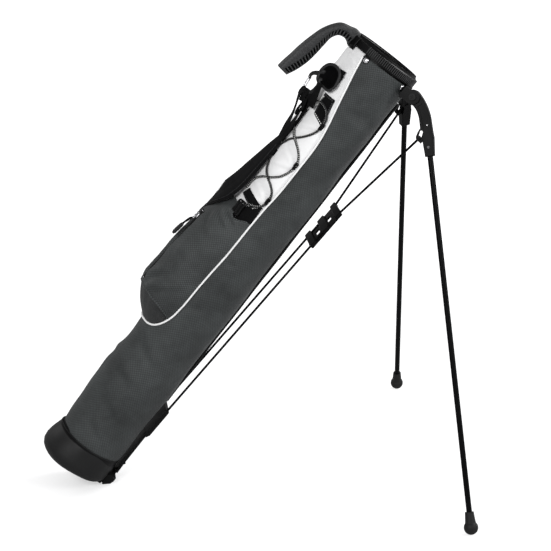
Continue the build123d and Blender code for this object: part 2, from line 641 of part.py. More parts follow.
# ================================================================ pocket
ZIP_P = pt(-97.4, -2.0, 425.0)
ZIP_N = dr(-1.0, -0.02, 0.075).normalized()
ZIP_T = dr(0.075, 0.0, 1.0)
ZIP_T = (ZIP_T - ZIP_N * ZIP_T.dot(ZIP_N)).normalized()
ZIP = Plane(origin=ZIP_P, x_dir=ZIP_T.cross(ZIP_N), z_dir=ZIP_N)     # x across the tape, y up along the zip
with BuildPart() as pocket:
    with BuildSketch(BAG.offset(286.0)):
        with BuildLine():
            Spline((-20.0, -60.9), (-46.0, -62.5), (-75.0, -51.0), (-96.0, -29.0), (-106.0, 0.0), (-96.0, 29.0), (-75.0, 51.0),
                   (-46.0, 62.5), (-20.0, 60.9))
            Line((-20.0, 60.9), (-20.0, -60.9))
        make_face()
        Circle(TUBE_R + 0.1, mode=Mode.SUBTRACT)
    extrude(amount=268.0)
    with BuildSketch(SIDE.offset(-80)):
        with BuildLine():
            Polyline((-20, 553), (-60, 553), (-73, 546), (-82, 528), (-89, 507), (-92.3, 495), (-103.2, 350), (-99, 340), (-66, 290), (-20, 287))
            Polyline((-20, 287), (-20, 280), (-120, 280), (-120, 560), (-20, 560), (-20, 553))
        make_face()
    extrude(amount=160, mode=Mode.SUBTRACT)
    # flat for the zip, and gap for the piping
    with BuildSketch(ZIP.offset(-1.6)):
        Rectangle(20, 200)
    extrude(amount=30, mode=Mode.SUBTRACT)
    with BuildSketch(BAG.offset(270)):
        Circle(TUBE_R + 5.3)
        Circle(TUBE_R - 5, mode=Mode.SUBTRACT)
        with BuildLine():
            Polyline((-44, -44), (-90, -44), (-90, 44), (-44, 44), (-44, -44))
        make_face(mode=Mode.SUBTRACT)
    extrude(amount=300, mode=Mode.SUBTRACT)
    with BuildSketch(BAG.offset(270)):
        Circle(TUBE_R + 5.3)
        Circle(TUBE_R - 5, mode=Mode.SUBTRACT)
    extrude(amount=40, mode=Mode.SUBTRACT)
    # lower shoulders either side of the dome
    with BuildSketch(BAG.offset(545.0)):
        with Locations((-60, -62), (-60, 62)):
            Rectangle(120, 80)
    extrude(amount=20, mode=Mode.SUBTRACT)
save(pocket, "front_pocket")

ZL = 74.0
with BuildPart() as zip_tape:
    with BuildSketch(ZIP.offset(-1.5)):
        with Locations((-4.6, 0), (4.6, 0)):
            Rectangle(6.4, 2 * ZL)
    extrude(amount=0.9)
    with BuildSketch(ZIP.offset(-1.5)):
        Rectangle(3.0, 2 * ZL)
    extrude(amount=1.6)
save(zip_tape, "pocket_zip_tape")

SL_Y = 66.0                 # slider rests this far above the middle of the zip
with BuildPart() as zip_slider:
    with BuildSketch(ZIP.offset(0.2)):
        with Locations((0, SL_Y)):
            RectangleRounded(8.6, 11.0, 2.6)
    extrude(amount=2.0)
    fillet(zip_slider.edges().filter_by(lambda e: e.length > 2.2), 0.7)
    # bridge for the pull
    with BuildSketch(Plane(origin=ZIP.from_local_coords((0, SL_Y, 2.0)), x_dir=ZIP.y_dir, z_dir=ZIP.x_dir).offset(-1.2)):
        with BuildLine():
            Polyline((-4.2, 0), (4.2, 0), (3.0, 3.8), (-3.0, 3.8), (-4.2, 0))
        make_face()
        with Locations((-0.2, 1.75)):
            Circle(1.25, mode=Mode.SUBTRACT)
    extrude(amount=2.4)
save(zip_slider, "zip_slider")

PULL_C = ZIP.from_local_coords((0, SL_Y - 0.2, 3.75))
with BuildPart() as zip_pull:
    # cross bar in the slider's bridge, two cord legs and a moulded tab
    with BuildSketch(Plane(origin=PULL_C, x_dir=ZIP.y_dir, z_dir=ZIP.x_dir).offset(-3.0)):
        Circle(0.9)
    extrude(amount=6.0)
    with BuildSketch(ZIP.offset(2.95)):
        with Locations((-2.6, SL_Y - 6.6), (2.6, SL_Y - 6.6)):
            Rectangle(1.5, 14.0)
        with Locations((0, SL_Y - 20.0)):
            RectangleRounded(7.6, 16.0, 2.2)
    extrude(amount=1.7)
save(zip_pull, "zip_pull")

# mesh panel under the pocket's lower edge
with BuildPart() as gusset:
    with BuildSketch(SIDE.offset(-30)):
        with BuildLine():
            Polyline((-67.9, 287.0), (-99.9, 335.6), (-101.5, 334.6), (-69.3, 285.8), (-67.9, 287.0))
        make_face()
    extrude(amount=60)
save(gusset, "pocket_mesh_gusset")

# ================================================================ strap hardware on the front
mm = dr(-0.766, -0.643, 0)
tt = dr(-0.643, 0.766, 0)
HOOK = Plane(origin=pt(-66.5, -32.5, 815.0), x_dir=tt, z_dir=mm)   # x = outward left, y = up the tube
HOOKU = HOOK.y_dir
up_sign = 1.0 if HOOKU.dot(ax) > 0 else -1.0
with BuildPart() as strap_anchor:
    with BuildSketch(HOOK.offset(-3.0)):
        with Locations((0, 0)):
            Ellipse(20.5, 23.5)
            Ellipse(15.6, 18.6, mode=Mode.SUBTRACT)
    extrude(amount=7.0)
    # hook arm hanging from the ring's left side
    with BuildSketch(HOOK.offset(-2.2)):
        with BuildLine():
            Spline((17.0, 9.0 * up_sign), (27.0, 3.0 * up_sign), (35.0, -6.0 * up_sign), (34.0, -18.0 * up_sign))
            Line((34.0, -18.0 * up_sign), (29.0, -18.5 * up_sign))
            Spline((29.0, -18.5 * up_sign), (29.0, -10.0 * up_sign), (25.0, -4.0 * up_sign), (17.5, -2.0 * up_sign))
            Line((17.5, -2.0 * up_sign), (17.0, 9.0 * up_sign))
        make_face()
        with BuildLine():
            Spline((10.0, -16.5 * up_sign), (4.0, -30.0 * up_sign), (8.0, -45.0 * up_sign), (19.0, -52.5 * up_sign), (30.0, -47.0 * up_sign), (31.5, -37.5 * up_sign))
            Line((31.5, -37.5 * up_sign), (26.6, -37.0 * up_sign))
            Spline((26.6, -37.0 * up_sign), (24.6, -43.6 * up_sign), (18.6, -46.6 * up_sign), (12.4, -41.4 * up_sign), (10.4, -31.0 * up_sign), (16.5, -15.0 * up_sign))
            Line((16.5, -15.0 * up_sign), (10.0, -16.5 * up_sign))
        make_face()
    extrude(amount=5.0)
    with BuildSketch(HOOK.offset(-6)):
        with Locations((28.8, -39.9 * up_sign)):
            Circle(0.95)
    extrude(amount=12, mode=Mode.SUBTRACT)
save(strap_anchor, "strap_hook_frame")

with BuildPart() as anchor_pad:
    with BuildSketch(HOOK.offset(-1.6)):
        Ellipse(15.5, 18.5)
    extrude(amount=4.4)
    fillet(anchor_pad.edges().filter_by(lambda e: e.length > 20), 1.4)
save(anchor_pad, "strap_hook_pad")

# wire gate of the hook, closed against the hook's nose
with BuildPart() as hook_gate:
    with BuildSketch(HOOK.offset(-4.4)):
        with Locations((28.8, -39.9 * up_sign)):
            Circle(0.9)
    extrude(amount=8.8)
    for s in (-4.0, 3.4):
        with BuildSketch(HOOK.offset(s)):
            with BuildLine():
                Polyline((27.8, -39.9 * up_sign), (30.4, -19.8 * up_sign), (32.2, -20.0 * up_sign), (29.8, -39.9 * up_sign), (27.8, -39.9 * up_sign))
            make_face()
        extrude(amount=1.2)
    with BuildSketch(HOOK.offset(-4.0)):
        with BuildLine():
            Polyline((30.3, -20.9 * up_sign), (30.5, -19.4 * up_sign), (32.3, -19.6 * up_sign), (32.1, -21.1 * up_sign), (30.3, -20.9 * up_sign))
        make_face()
    extrude(amount=8.6)
save(hook_gate, "strap_hook_gate")

# webbing tab that carries the hook
with BuildPart() as upper_patch:
    with BuildSketch(BAG.offset(800.0)):
        with BuildLine():
            Polyline((-53.6, -33.7), (-60.0, -26.6), (-63.5, -29.6), (-57.0, -36.8), (-53.6, -33.7))
        make_face()
    extrude(amount=30.0)
    with BuildSketch(BAG.offset(790)):
        Circle(TUBE_R + 0.1)
    extrude(amount=60, mode=Mode.SUBTRACT)
save(upper_patch, "hook_webbing_tab")

# webbing patches wrapped round the near front of the tube
WRAP_R0, WRAP_R1 = TUBE_R + 0.1, TUBE_R + 1.9


def polar(r, a):
    return (r * cos(radians(a)), r * sin(radians(a)))


with BuildPart() as lower_patch:
    with BuildSketch(BAG.offset(749.0)):
        with BuildLine():
            CenterArc((0, 0), WRAP_R1, -151.0, 27.5)
            Line(polar(WRAP_R1, -123.5), polar(WRAP_R0, -123.5))
            CenterArc((0, 0), WRAP_R0, -123.5, -27.5)
            Line(polar(WRAP_R0, -151.0), polar(WRAP_R1, -151.0))
        make_face()
    extrude(amount=40.0)
save(lower_patch, "strap_webbing_patch")

# webbing sewn into the side seam, with the strap's slide buckle at its end
with BuildPart() as anchor_web:
    with BuildSketch(BAG.offset(552.0)):
        with BuildLine():
            CenterArc((0, 0), WRAP_R1, -149.0, 33.8)
            Line(polar(WRAP_R1, -115.2), polar(WRAP_R0, -115.2))
            CenterArc((0, 0), WRAP_R0, -115.2, -33.8)
            Line(polar(WRAP_R0, -149.0), polar(WRAP_R1, -149.0))
        make_face()
    extrude(amount=20.0)
save(anchor_web, "strap_anchor_webbing")

BK_N = dr(cos(radians(-150)), sin(radians(-150)), 0)
BK_T = dr(-sin(radians(-150)), cos(radians(-150)), 0)
with BuildPart() as ladder_lock:
    with BuildSketch(Plane(origin=pt(69.0 * cos(radians(-150)), 69.0 * sin(radians(-150)), 562.0), x_dir=BK_T, z_dir=BK_N).offset(-1.8)):
        RectangleRounded(15.0, 28.0, 2.6)
        with Locations((3.4, 0), (-3.4, 0)):
            Rectangle(3.2, 21.0, mode=Mode.SUBTRACT)
    extrude(amount=3.6)
save(ladder_lock, "strap_slide_buckle")

# ================================================================ shoulder strap (soft)
def strap_sec(x, y, z, wd, tk, nx, ny, up):
    o = pt(x, y, z)
    nn = dr(nx, ny, 0).normalized()
    return Plane(origin=o, x_dir=up.cross(nn).normalized(), z_dir=up)


up1 = dr(0.10, -0.12, 0.985).normalized()
with BuildPart() as strap_pad:
    for (x, y, z, wd, tk, nx, ny) in ((-65.9, -20.4, 686.0, 17.0, 2.6, -0.954, -0.30), (-68.0, -18.0, 660.0, 26.0, 6.0, -0.95, -0.31),
                                      (-70.0, -15.0, 638.0, 31.0, 8.0, -0.94, -0.34), (-75.5, -9.0, 578.0, 42.0, 8.0, -0.93, -0.36),
                                      (-80.0, -6.0, 558.0, 41.0, 8.0, -0.93, -0.36)):
        with BuildSketch(strap_sec(x, y, z, wd, tk, nx, ny, up1)):
            RectangleRounded(wd, tk, 1.2)
    loft()
save(strap_pad, "shoulder_strap_pad")

upw = dr(-0.257, 0.04, 0.966).normalized()
with BuildPart() as strap_web:
    for (x, y, z, wd, tk) in ((-67.2, -20.4, 692.0, 17.0, 2.4), (-72.3, -19.8, 716.0, 15.0, 2.4), (-79.2, -18.6, 741.0, 11.0, 2.4)):
        with BuildSketch(strap_sec(x, y, z, wd, tk, -0.954, -0.30, upw)):
            RectangleRounded(wd, tk, 0.6)
    loft()
    # loop round the lower bar of the hook
    loop = Plane(origin=pt(-66.5, -32.5, 815.0) + tt * 13.6, x_dir=mm, z_dir=tt)
    with BuildSketch(loop):
        with Locations((0.3, -58.0 if loop.y_dir.dot(ax) > 0 else 58.0)):
            SlotOverall(36.0, 8.6, rotation=90)
            SlotOverall(33.2, 5.8, rotation=90, mode=Mode.SUBTRACT)
    extrude(amount=10.0)
save(strap_web, "shoulder_strap_webbing")

# loose tail of the strap webbing
with BuildPart() as strap_tail:
    for (x, y, z, wd, tk) in ((-67.5, -32.7, 700.0, 8.8, 2.4), (-69.6, -33.9, 722.0, 8.6, 2.4), (-73.0, -34.0, 755.0, 9.0, 2.4)):
        with BuildSketch(strap_sec(x, y, z, wd, tk, -0.954, -0.30, dr(-0.1, -0.04, 0.99).normalized())):
            RectangleRounded(wd, tk, 0.6)
    loft()
save(strap_tail, "strap_tail_webbing")

# ================================================================ elastic cord laced over the front panel
CORD_R = 1.5
CORD = [(-137.0, 563.5, 66.9), (-129.0, 566.5, 66.9), (-121.0, 571.5, 66.8), (-116.6, 578.0, 65.6), (-115.0, 584.0, 64.6), (-114.6, 592.5, 64.6),
        (-117.5, 604.0, 64.7), (-126.5, 613.5, 66.2), (-137.4, 621.0, 68.4), (-147.5, 628.5, 66.2), (-154.5, 638.0, 64.8), (-158.8, 650.0, 64.6),
        (-159.8, 666.0, 64.6), (-156.5, 680.0, 64.6), (-150.0, 692.0, 64.6), (-142.0, 701.0, 64.6), (-135.0, 708.0, 64.6), (-128.0, 717.0, 64.6),
        (-122.0, 728.0, 64.6), (-119.4, 738.0, 64.6), (-119.0, 747.0, 64.6), (-119.8, 756.0, 65.3), (-124.0, 765.5, 66.8), (-133.0, 772.5, 67.0),
        (-143.0, 774.5, 67.0), (-152.0, 770.0, 66.8), (-158.6, 760.0, 65.6), (-161.0, 749.0, 64.6), (-161.2, 736.0, 64.6), (-159.0, 722.0, 64.7),
        (-152.5, 710.0, 66.2), (-142.0, 701.0, 68.4), (-133.5, 694.5, 66.2), (-125.0, 687.5, 64.7), (-118.0, 679.0, 64.6), (-114.6, 669.5, 64.6),
        (-114.4, 659.0, 64.6), (-116.9, 646.5, 64.6), (-122.5, 635.0, 64.6), (-129.5, 627.3, 64.6), (-137.4, 621.0, 64.6), (-147.0, 614.6, 64.6),
        (-154.5, 606.5, 64.6), (-158.8, 596.5, 64.6), (-159.6, 583.0, 64.6)]


def on_tube(a, z, r):
    return pt(r * cos(radians(a)), r * sin(radians(a)), z)


with BuildPart() as bungee:
    with BuildLine() as bl:
        Spline(*[on_tube(*c) for c in CORD])
    with BuildSketch(Plane(origin=bl.line @ 0, z_dir=bl.line % 0)):
        Circle(CORD_R)
    sweep(path=bl.line)
save(bungee, "bungee_cord")

# webbing tunnels that hold the cord
TUNNELS = [((-114.9, 583.6), (-114.6, 593.0)), ((-119.2, 738.6), (-119.1, 748.4)), ((-114.7, 669.0), (-114.4, 659.4)),
           ((-159.3, 653.0), (-159.8, 663.0)), ((-161.0, 747.6), (-161.2, 738.0))]
with BuildPart() as cord_loops:
    for (a0, z0), (a1, z1) in TUNNELS:
        q0, q1 = on_tube(a0, z0, 64.6), on_tube(a1, z1, 64.6)
        d = (q1 - q0).normalized()
        with BuildSketch(Plane(origin=(q0 + q1) * 0.5 - d * 3.6, z_dir=d)):
            Circle(2.52)
            Circle(2.16, mode=Mode.SUBTRACT)
        extrude(amount=7.2)
    with BuildSketch(BAG.offset(560.0)):
        Circle(TUBE_R + 0.05)
    extrude(amount=220.0, mode=Mode.SUBTRACT)
save(cord_loops, "cord_loops")
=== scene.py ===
"""A slim cloth stand bag, leaning at about 51 degrees with its base on the floor.

The soft parts and fittings are modelled in the tube's own frame, in millimetres: x toward
the back, y toward the far side (the camera is on the near side) and z up the tube's axis.
Angles are in degrees round the tube from its back line, negative on the near side, so the
front line is at 180. The remaining hard parts keep their CAD shapes and get soft edges and
materials. In the world, the tube's top leans toward +X.
"""
import bmesh
import bpy
import json
import math
import numpy as np
from mathutils import Matrix, Vector


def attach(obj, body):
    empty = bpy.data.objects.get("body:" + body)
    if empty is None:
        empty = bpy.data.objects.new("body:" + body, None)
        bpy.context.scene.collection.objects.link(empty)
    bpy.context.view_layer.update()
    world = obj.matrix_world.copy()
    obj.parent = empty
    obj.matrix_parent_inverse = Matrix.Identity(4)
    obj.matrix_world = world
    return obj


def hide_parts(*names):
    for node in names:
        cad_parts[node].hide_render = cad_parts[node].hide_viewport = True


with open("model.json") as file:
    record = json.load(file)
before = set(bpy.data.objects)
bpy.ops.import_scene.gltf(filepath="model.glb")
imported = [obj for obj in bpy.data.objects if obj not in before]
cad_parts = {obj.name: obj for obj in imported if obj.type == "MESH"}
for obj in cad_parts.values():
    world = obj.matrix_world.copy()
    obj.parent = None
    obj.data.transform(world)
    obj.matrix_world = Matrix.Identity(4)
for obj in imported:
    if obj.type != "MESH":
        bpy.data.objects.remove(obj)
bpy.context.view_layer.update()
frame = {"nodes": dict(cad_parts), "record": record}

# ------------------------------------------------------------------ the tube's frame
LEAN = math.radians(51.431)     # tube axis above the floor
RADIUS = 62.9                   # cloth tube
ARC = math.radians(RADIUS)      # mm round the tube per degree
UP_TUBE = np.array([math.cos(LEAN), 0.0, math.sin(LEAN)])
BACK = np.array([math.sin(LEAN), 0.0, -math.cos(LEAN)])
FAR = np.array([0.0, 1.0, 0.0])
ORIGIN = -RADIUS * BACK
Z_AXIS = np.array([0.0, 0.0, 1.0])
SIDES = (-1, 1)


def to_world(points):
    return ORIGIN + points @ np.array([BACK, FAR, UP_TUBE])


def polar(angle, z, radius):
    """Points in the tube's frame from angle, height and radius."""
    angle, z, radius = np.broadcast_arrays(np.radians(angle), z, radius)
    return np.stack([radius * np.cos(angle), radius * np.sin(angle), z], -1)


def tube_axes(angle):
    """Axes at an angle on the tube: round it, up it and out of it."""
    out = polar(angle, 0.0, 1.0)
    return np.array([(-out[1], out[0], 0), Z_AXIS, out])


def in_frame(origin, axes):
    """A function that places local points (..., 3) on the given origin and axes."""
    return lambda points: origin + np.asarray(points, float) @ np.asarray(axes)


# ------------------------------------------------------------------ vectors and curves
def unit(vectors):
    vectors = np.asarray(vectors, float)
    return vectors / np.maximum(np.linalg.norm(vectors, axis=-1, keepdims=True), 1e-12)


def square_to(vectors, direction):
    """Unit vectors with their part along a unit direction taken out."""
    return unit(vectors - direction * (vectors * direction).sum(-1, keepdims=True))


def tangents_of(path):
    return unit(np.gradient(path, axis=0))


def outward(points):
    return unit(points * [1, 1, 0])


def pushed(points, distance):
    """Points moved away from the tube's axis."""
    return points + outward(points) * distance


def smooth_step(low, high, x):
    t = np.clip((np.asarray(x, float) - low) / (high - low), 0, 1)
    return t * t * (3 - 2 * t)


def bell(x, centre, width):
    return np.exp(-((x - centre) / width) ** 2)


def soft(x, power):
    """A signed power: below 1 it squares off a sine or cosine."""
    return np.sign(x) * np.abs(x) ** power


def turn(count):
    return np.linspace(0, 2 * math.pi, count + 1)[:-1]


def soft_oval(half_width, half_height, power, count):
    q = turn(count)
    return np.stack([half_width * soft(np.cos(q), power),
                     half_height * soft(np.sin(q), power)], 1)


def circle(centre, first, second, radius, count):
    q = turn(count)[:, None]
    return centre + radius * (first * np.cos(q) + second * np.sin(q))


def along(count, values, at=None):
    """Values spread over a path of count points; at gives their places from 0 to 1."""
    at = np.linspace(0, 1, len(values)) if at is None else at
    return np.interp(np.linspace(0, 1, count), at, values)


def running(steps):
    return np.r_[0, np.cumsum(steps)]


def lengths(path):
    """Length along a path at each of its points."""
    return running(np.linalg.norm(np.diff(path, axis=0), axis=1))


def curve(points, count, closed=False):
    """Smooth cubic through points of any dimension, at even steps."""
    points = np.array(points, float)
    if closed:
        points = np.vstack([points[-3:], points, points[:3]])
    d = lengths(points)
    slope = np.gradient(points, d, axis=0)
    if closed:
        t = np.linspace(d[3], d[-3], count + 1)[:-1]
    else:
        t = np.linspace(0.0, d[-1], count)
    i = np.clip(np.searchsorted(d, t, "right") - 1, 0, len(d) - 2)
    h = (d[i + 1] - d[i])[:, None]
    s = (t - d[i])[:, None] / h
    return ((2 * s ** 3 - 3 * s ** 2 + 1) * points[i] + (s ** 3 - 2 * s ** 2 + s) * h * slope[i]
            + (-2 * s ** 3 + 3 * s ** 2) * points[i + 1] + (s ** 3 - s ** 2) * h * slope[i + 1])


def carried_normals(tangents, closed):
    """Normals carried along a path; on a closed one the leftover twist is shared out."""
    reference = [0.0, 0, 1] if abs(tangents[0][2]) < 0.9 else [1.0, 0, 0]
    normals = [unit(np.cross(tangents[0], reference))]
    for tangent in tangents[1:]:
        normals.append(square_to(normals[-1], tangent))
    normals = np.array(normals)
    if closed:
        end = square_to(normals[-1], tangents[0])
        twist = math.atan2(np.cross(normals[0], end) @ tangents[0], normals[0] @ end)
        share = (-twist * np.arange(len(normals)) / len(normals))[:, None]
        normals = normals * np.cos(share) + np.cross(tangents, normals) * np.sin(share)
    return normals


# ------------------------------------------------------------------ uneven cloth
def waves(seed, count, shortest, longest, period=None):
    """Random smooth unevenness of unit strength; x repeats over period if given."""
    rng = np.random.default_rng(seed)
    wavelength = np.exp(rng.uniform(math.log(shortest), math.log(longest), count))
    heading = rng.uniform(0, 2 * math.pi, count)
    phase = rng.uniform(0, 2 * math.pi, count)
    kx = 2 * math.pi * np.cos(heading) / wavelength
    ky = 2 * math.pi * np.sin(heading) / wavelength
    if period:
        kx = np.round(kx * period / (2 * math.pi)) * 2 * math.pi / period
    amp = wavelength / longest
    amp = amp / math.sqrt((amp ** 2).sum() / 2)

    def height(x, y):
        return sum(amp[k] * np.cos(kx[k] * x + ky[k] * y + phase[k]) for k in range(count))
    return height


def fold(angle, z, start, end, width, height, skew=1.5, radius=RADIUS):
    """Height of a soft crease between two (angle, height) ends: a valley, a ridge beside it."""
    arc = math.radians(radius)
    x, y = angle * arc - start[0] * arc, z - start[1]
    dx, dy = (end[0] - start[0]) * arc, end[1] - start[1]
    length = np.hypot(dx, dy)
    t = (x * dx + y * dy) / length
    s = (y * dx - x * dy) / length
    taper = (smooth_step(-0.25 * length, 0.2 * length, t)
             * (1 - smooth_step(0.8 * length, 1.25 * length, t)))
    return 2.3 * height * taper * (0.8 * bell(s, skew * width, 1.2 * width) - bell(s, 0, width))


def folds(angle, z, table, radius=RADIUS):
    return sum(fold(angle, z, *row, radius=radius) for row in table)


def wrapped(values, step=0.0):
    """A grid with its first column repeated at the end, raised by step."""
    return np.concatenate([values, values[:, :1] + step], 1)


# ------------------------------------------------------------------ mesh building
class Shape:
    """Faces gathered into one mesh, with a uv per face corner in millimetres."""

    def __init__(self):
        self.points, self.faces, self.uvs, self.mats = [], [], [], []
        self.count = 0

    def add(self, points, faces, uvs, mat):
        self.points.append(points)
        self.faces += [tuple(int(k) + self.count for k in face) for face in faces]
        self.uvs += uvs
        self.mats += [mat] * len(faces)
        self.count += len(points)

    def grid(self, rows, u=None, v=None, wrap=False, keep=None, flip=False, mat=0):
        """A sheet through rows of points; wrap joins the last column to the first."""
        n_rows, n_cols = rows.shape[:2]
        if u is None:
            across = wrapped(rows) if wrap else rows
            steps = np.linalg.norm(np.diff(across, axis=1), axis=2).mean(0)
            u = np.tile(running(steps), (n_rows, 1))
        if v is None:
            steps = np.linalg.norm(np.diff(rows, axis=0), axis=2).mean(1)
            v = np.tile(running(steps)[:, None], (1, u.shape[1]))
        faces, uvs = [], []
        for i in range(n_rows - 1):
            for j in range(n_cols if wrap else n_cols - 1):
                if keep is not None and not keep[i, j]:
                    continue
                corners = [(i, j), (i, j + 1), (i + 1, j + 1), (i + 1, j)]
                if flip:
                    corners.reverse()
                faces.append([row * n_cols + col % n_cols for row, col in corners])
                uvs.append([(float(u[c]), float(v[c])) for c in corners])
        self.add(rows.reshape(-1, 3), faces, uvs, mat)

    def rings(self, rings, closed=False, mat=0):
        """A skin through rings of points (station, around, 3); open ends are capped."""
        rings = np.asarray(rings, float)
        n_rings, n = rings.shape[:2]
        centres = rings.mean(1)
        v = lengths(centres)
        u = lengths(np.vstack([rings[0], rings[0, :1]]))
        faces, uvs = [], []
        for i in range(n_rings if closed else n_rings - 1):
            after = (i + 1) % n_rings
            v_after = v[after] if after > i else v[i] + v[1]
            for j in range(n):
                k = (j + 1) % n
                faces.append((i * n + j, i * n + k, after * n + k, after * n + j))
                corners = ((j, v[i]), (j + 1, v[i]), (j + 1, v_after), (j, v_after))
                uvs.append([(float(u[c]), float(height)) for c, height in corners])
        points = rings.reshape(-1, 3)
        if not closed:
            first, last = len(points), len(points) + 1
            base = len(points) - n
            points = np.vstack([points, centres[0], centres[-1]])
            for j in range(n):
                k = (j + 1) % n
                faces += [(first, k, j), (last, base + j, base + k)]
                uvs += [[(0.0, float(v[0]))] * 3, [(0.0, float(v[-1]))] * 3]
        self.add(points, faces, uvs, mat)

    def tube(self, path, radius, seg, closed=False, mat=0, up=None, flat=1.0, rounded=True):
        """A round cord along a path; flat scales it along its normal, which up can set."""
        path = np.asarray(path, float)
        radius = np.broadcast_to(np.asarray(radius, float), (len(path),))
        if closed:
            tangent = unit(np.roll(path, -1, 0) - np.roll(path, 1, 0))
        else:
            tangent = tangents_of(path)
        if rounded and not closed:
            quarter = np.linspace(0, math.pi / 2, 4)[1:]
            shrink = np.maximum(np.cos(quarter), 0.05)
            reach = np.sin(quarter)[:, None]
            path = np.vstack([(path[0] - tangent[0] * radius[0] * reach)[::-1], path,
                              path[-1] + tangent[-1] * radius[-1] * reach])
            tangent = np.vstack([np.repeat(tangent[:1], 3, 0), tangent,
                                 np.repeat(tangent[-1:], 3, 0)])
            radius = np.r_[(radius[0] * shrink)[::-1], radius, radius[-1] * shrink]
        normal = carried_normals(tangent, closed) if up is None else square_to(up, tangent)
        side = np.cross(tangent, normal)
        q = turn(seg)[None, :, None]
        self.rings(path[:, None] + radius[:, None, None]
                   * (normal[:, None] * np.cos(q) * flat + side[:, None] * np.sin(q)),
                   closed, mat)

    def band(self, path, normal, width, thick, mat=0):
        """A strap along a path, with its face toward normal and soft edges."""
        seg, edge_power, face_power = 20, 2 / 8.8, 2 / 2.2
        path = np.asarray(path, float)
        width = np.broadcast_to(width, (len(path),))[:, None, None]
        tangent = tangents_of(path)
        normal = square_to(normal, tangent)
        side = np.cross(tangent, normal)
        q = (turn(seg) + math.pi / seg)[None, :, None]
        self.rings(path[:, None] + side[:, None] * width / 2 * soft(np.cos(q), edge_power)
                   + normal[:, None] * thick / 2 * soft(np.sin(q), face_power), mat=mat)

    def box(self, centre, axes, half, chamfer=0.25):
        """A chamfered block; half holds its half sizes, chamfer is a share of the least."""
        axes = np.asarray(axes, float)
        cut = min(half) * chamfer
        rings = []
        for z, inset in ((-half[2], cut), (-half[2] + cut, 0), (half[2] - cut, 0), (half[2], cut)):
            x, y = half[0] - inset, half[1] - inset
            e = cut - inset * 0.5
            corners = ((x, -y + e), (x, y - e), (x - e, y), (-x + e, y),
                       (-x, y - e), (-x, -y + e), (-x + e, -y), (x - e, -y))
            rings.append([centre + np.array([px, py, z]) @ axes for px, py in corners])
        rings = np.array(rings)
        if np.linalg.det(axes) < 0:
            rings = rings[:, ::-1]
        self.rings(rings)

    def stitches(self, path, length, gap, radius, mat=0):
        path = np.asarray(path, float)
        d = lengths(path)
        start = gap / 2
        while start + length < d[-1]:
            t = np.linspace(start, start + length, 5)
            dash = np.stack([np.interp(t, d, path[:, k]) for k in range(3)], 1)
            self.tube(dash, radius, seg=6, mat=mat)
            start += length + gap

    def make(self, name, mats, replaces=(), body="bag", sharp=None, thickness=None):
        points = to_world(np.vstack(self.points)) / 1000.0
        mesh = bpy.data.meshes.new(name)
        mesh.from_pydata(points.tolist(), [], self.faces)
        uv = mesh.uv_layers.new(name="UVMap")
        uv.data.foreach_set("uv", np.array([c for f in self.uvs for c in f], np.float32).ravel())
        for mat in mats if isinstance(mats, list) else [mats]:
            mesh.materials.append(mat)
        mesh.polygons.foreach_set("material_index", self.mats)
        mesh.polygons.foreach_set("use_smooth", [True] * len(mesh.polygons))
        used = {k for face in self.faces for k in face}
        if len(used) < len(points):
            bm = bmesh.new()
            bm.from_mesh(mesh)
            loose = [v for v in bm.verts if not v.link_faces]
            bmesh.ops.delete(bm, geom=loose, context="VERTS")
            bm.to_mesh(mesh)
            bm.free()
        mesh.validate()
        mesh.update()
        if sharp is not None:
            mesh.set_sharp_from_angle(angle=math.radians(sharp))
        obj = bpy.data.objects.new(name, mesh)
        bpy.context.scene.collection.objects.link(obj)
        if thickness is not None:
            solidify = obj.modifiers.new("thickness", "SOLIDIFY")
            solidify.thickness = thickness / 1000.0
            solidify.offset = -1.0
            solidify.use_rim = True
            solidify.use_even_offset = False
        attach(obj, body)
        if replaces:
            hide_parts(*replaces)


# ------------------------------------------------------------------ materials
NOISE = (0.3, 0.7)      # where most noise values lie
WAVE = (-1, 1)          # the span of a sine


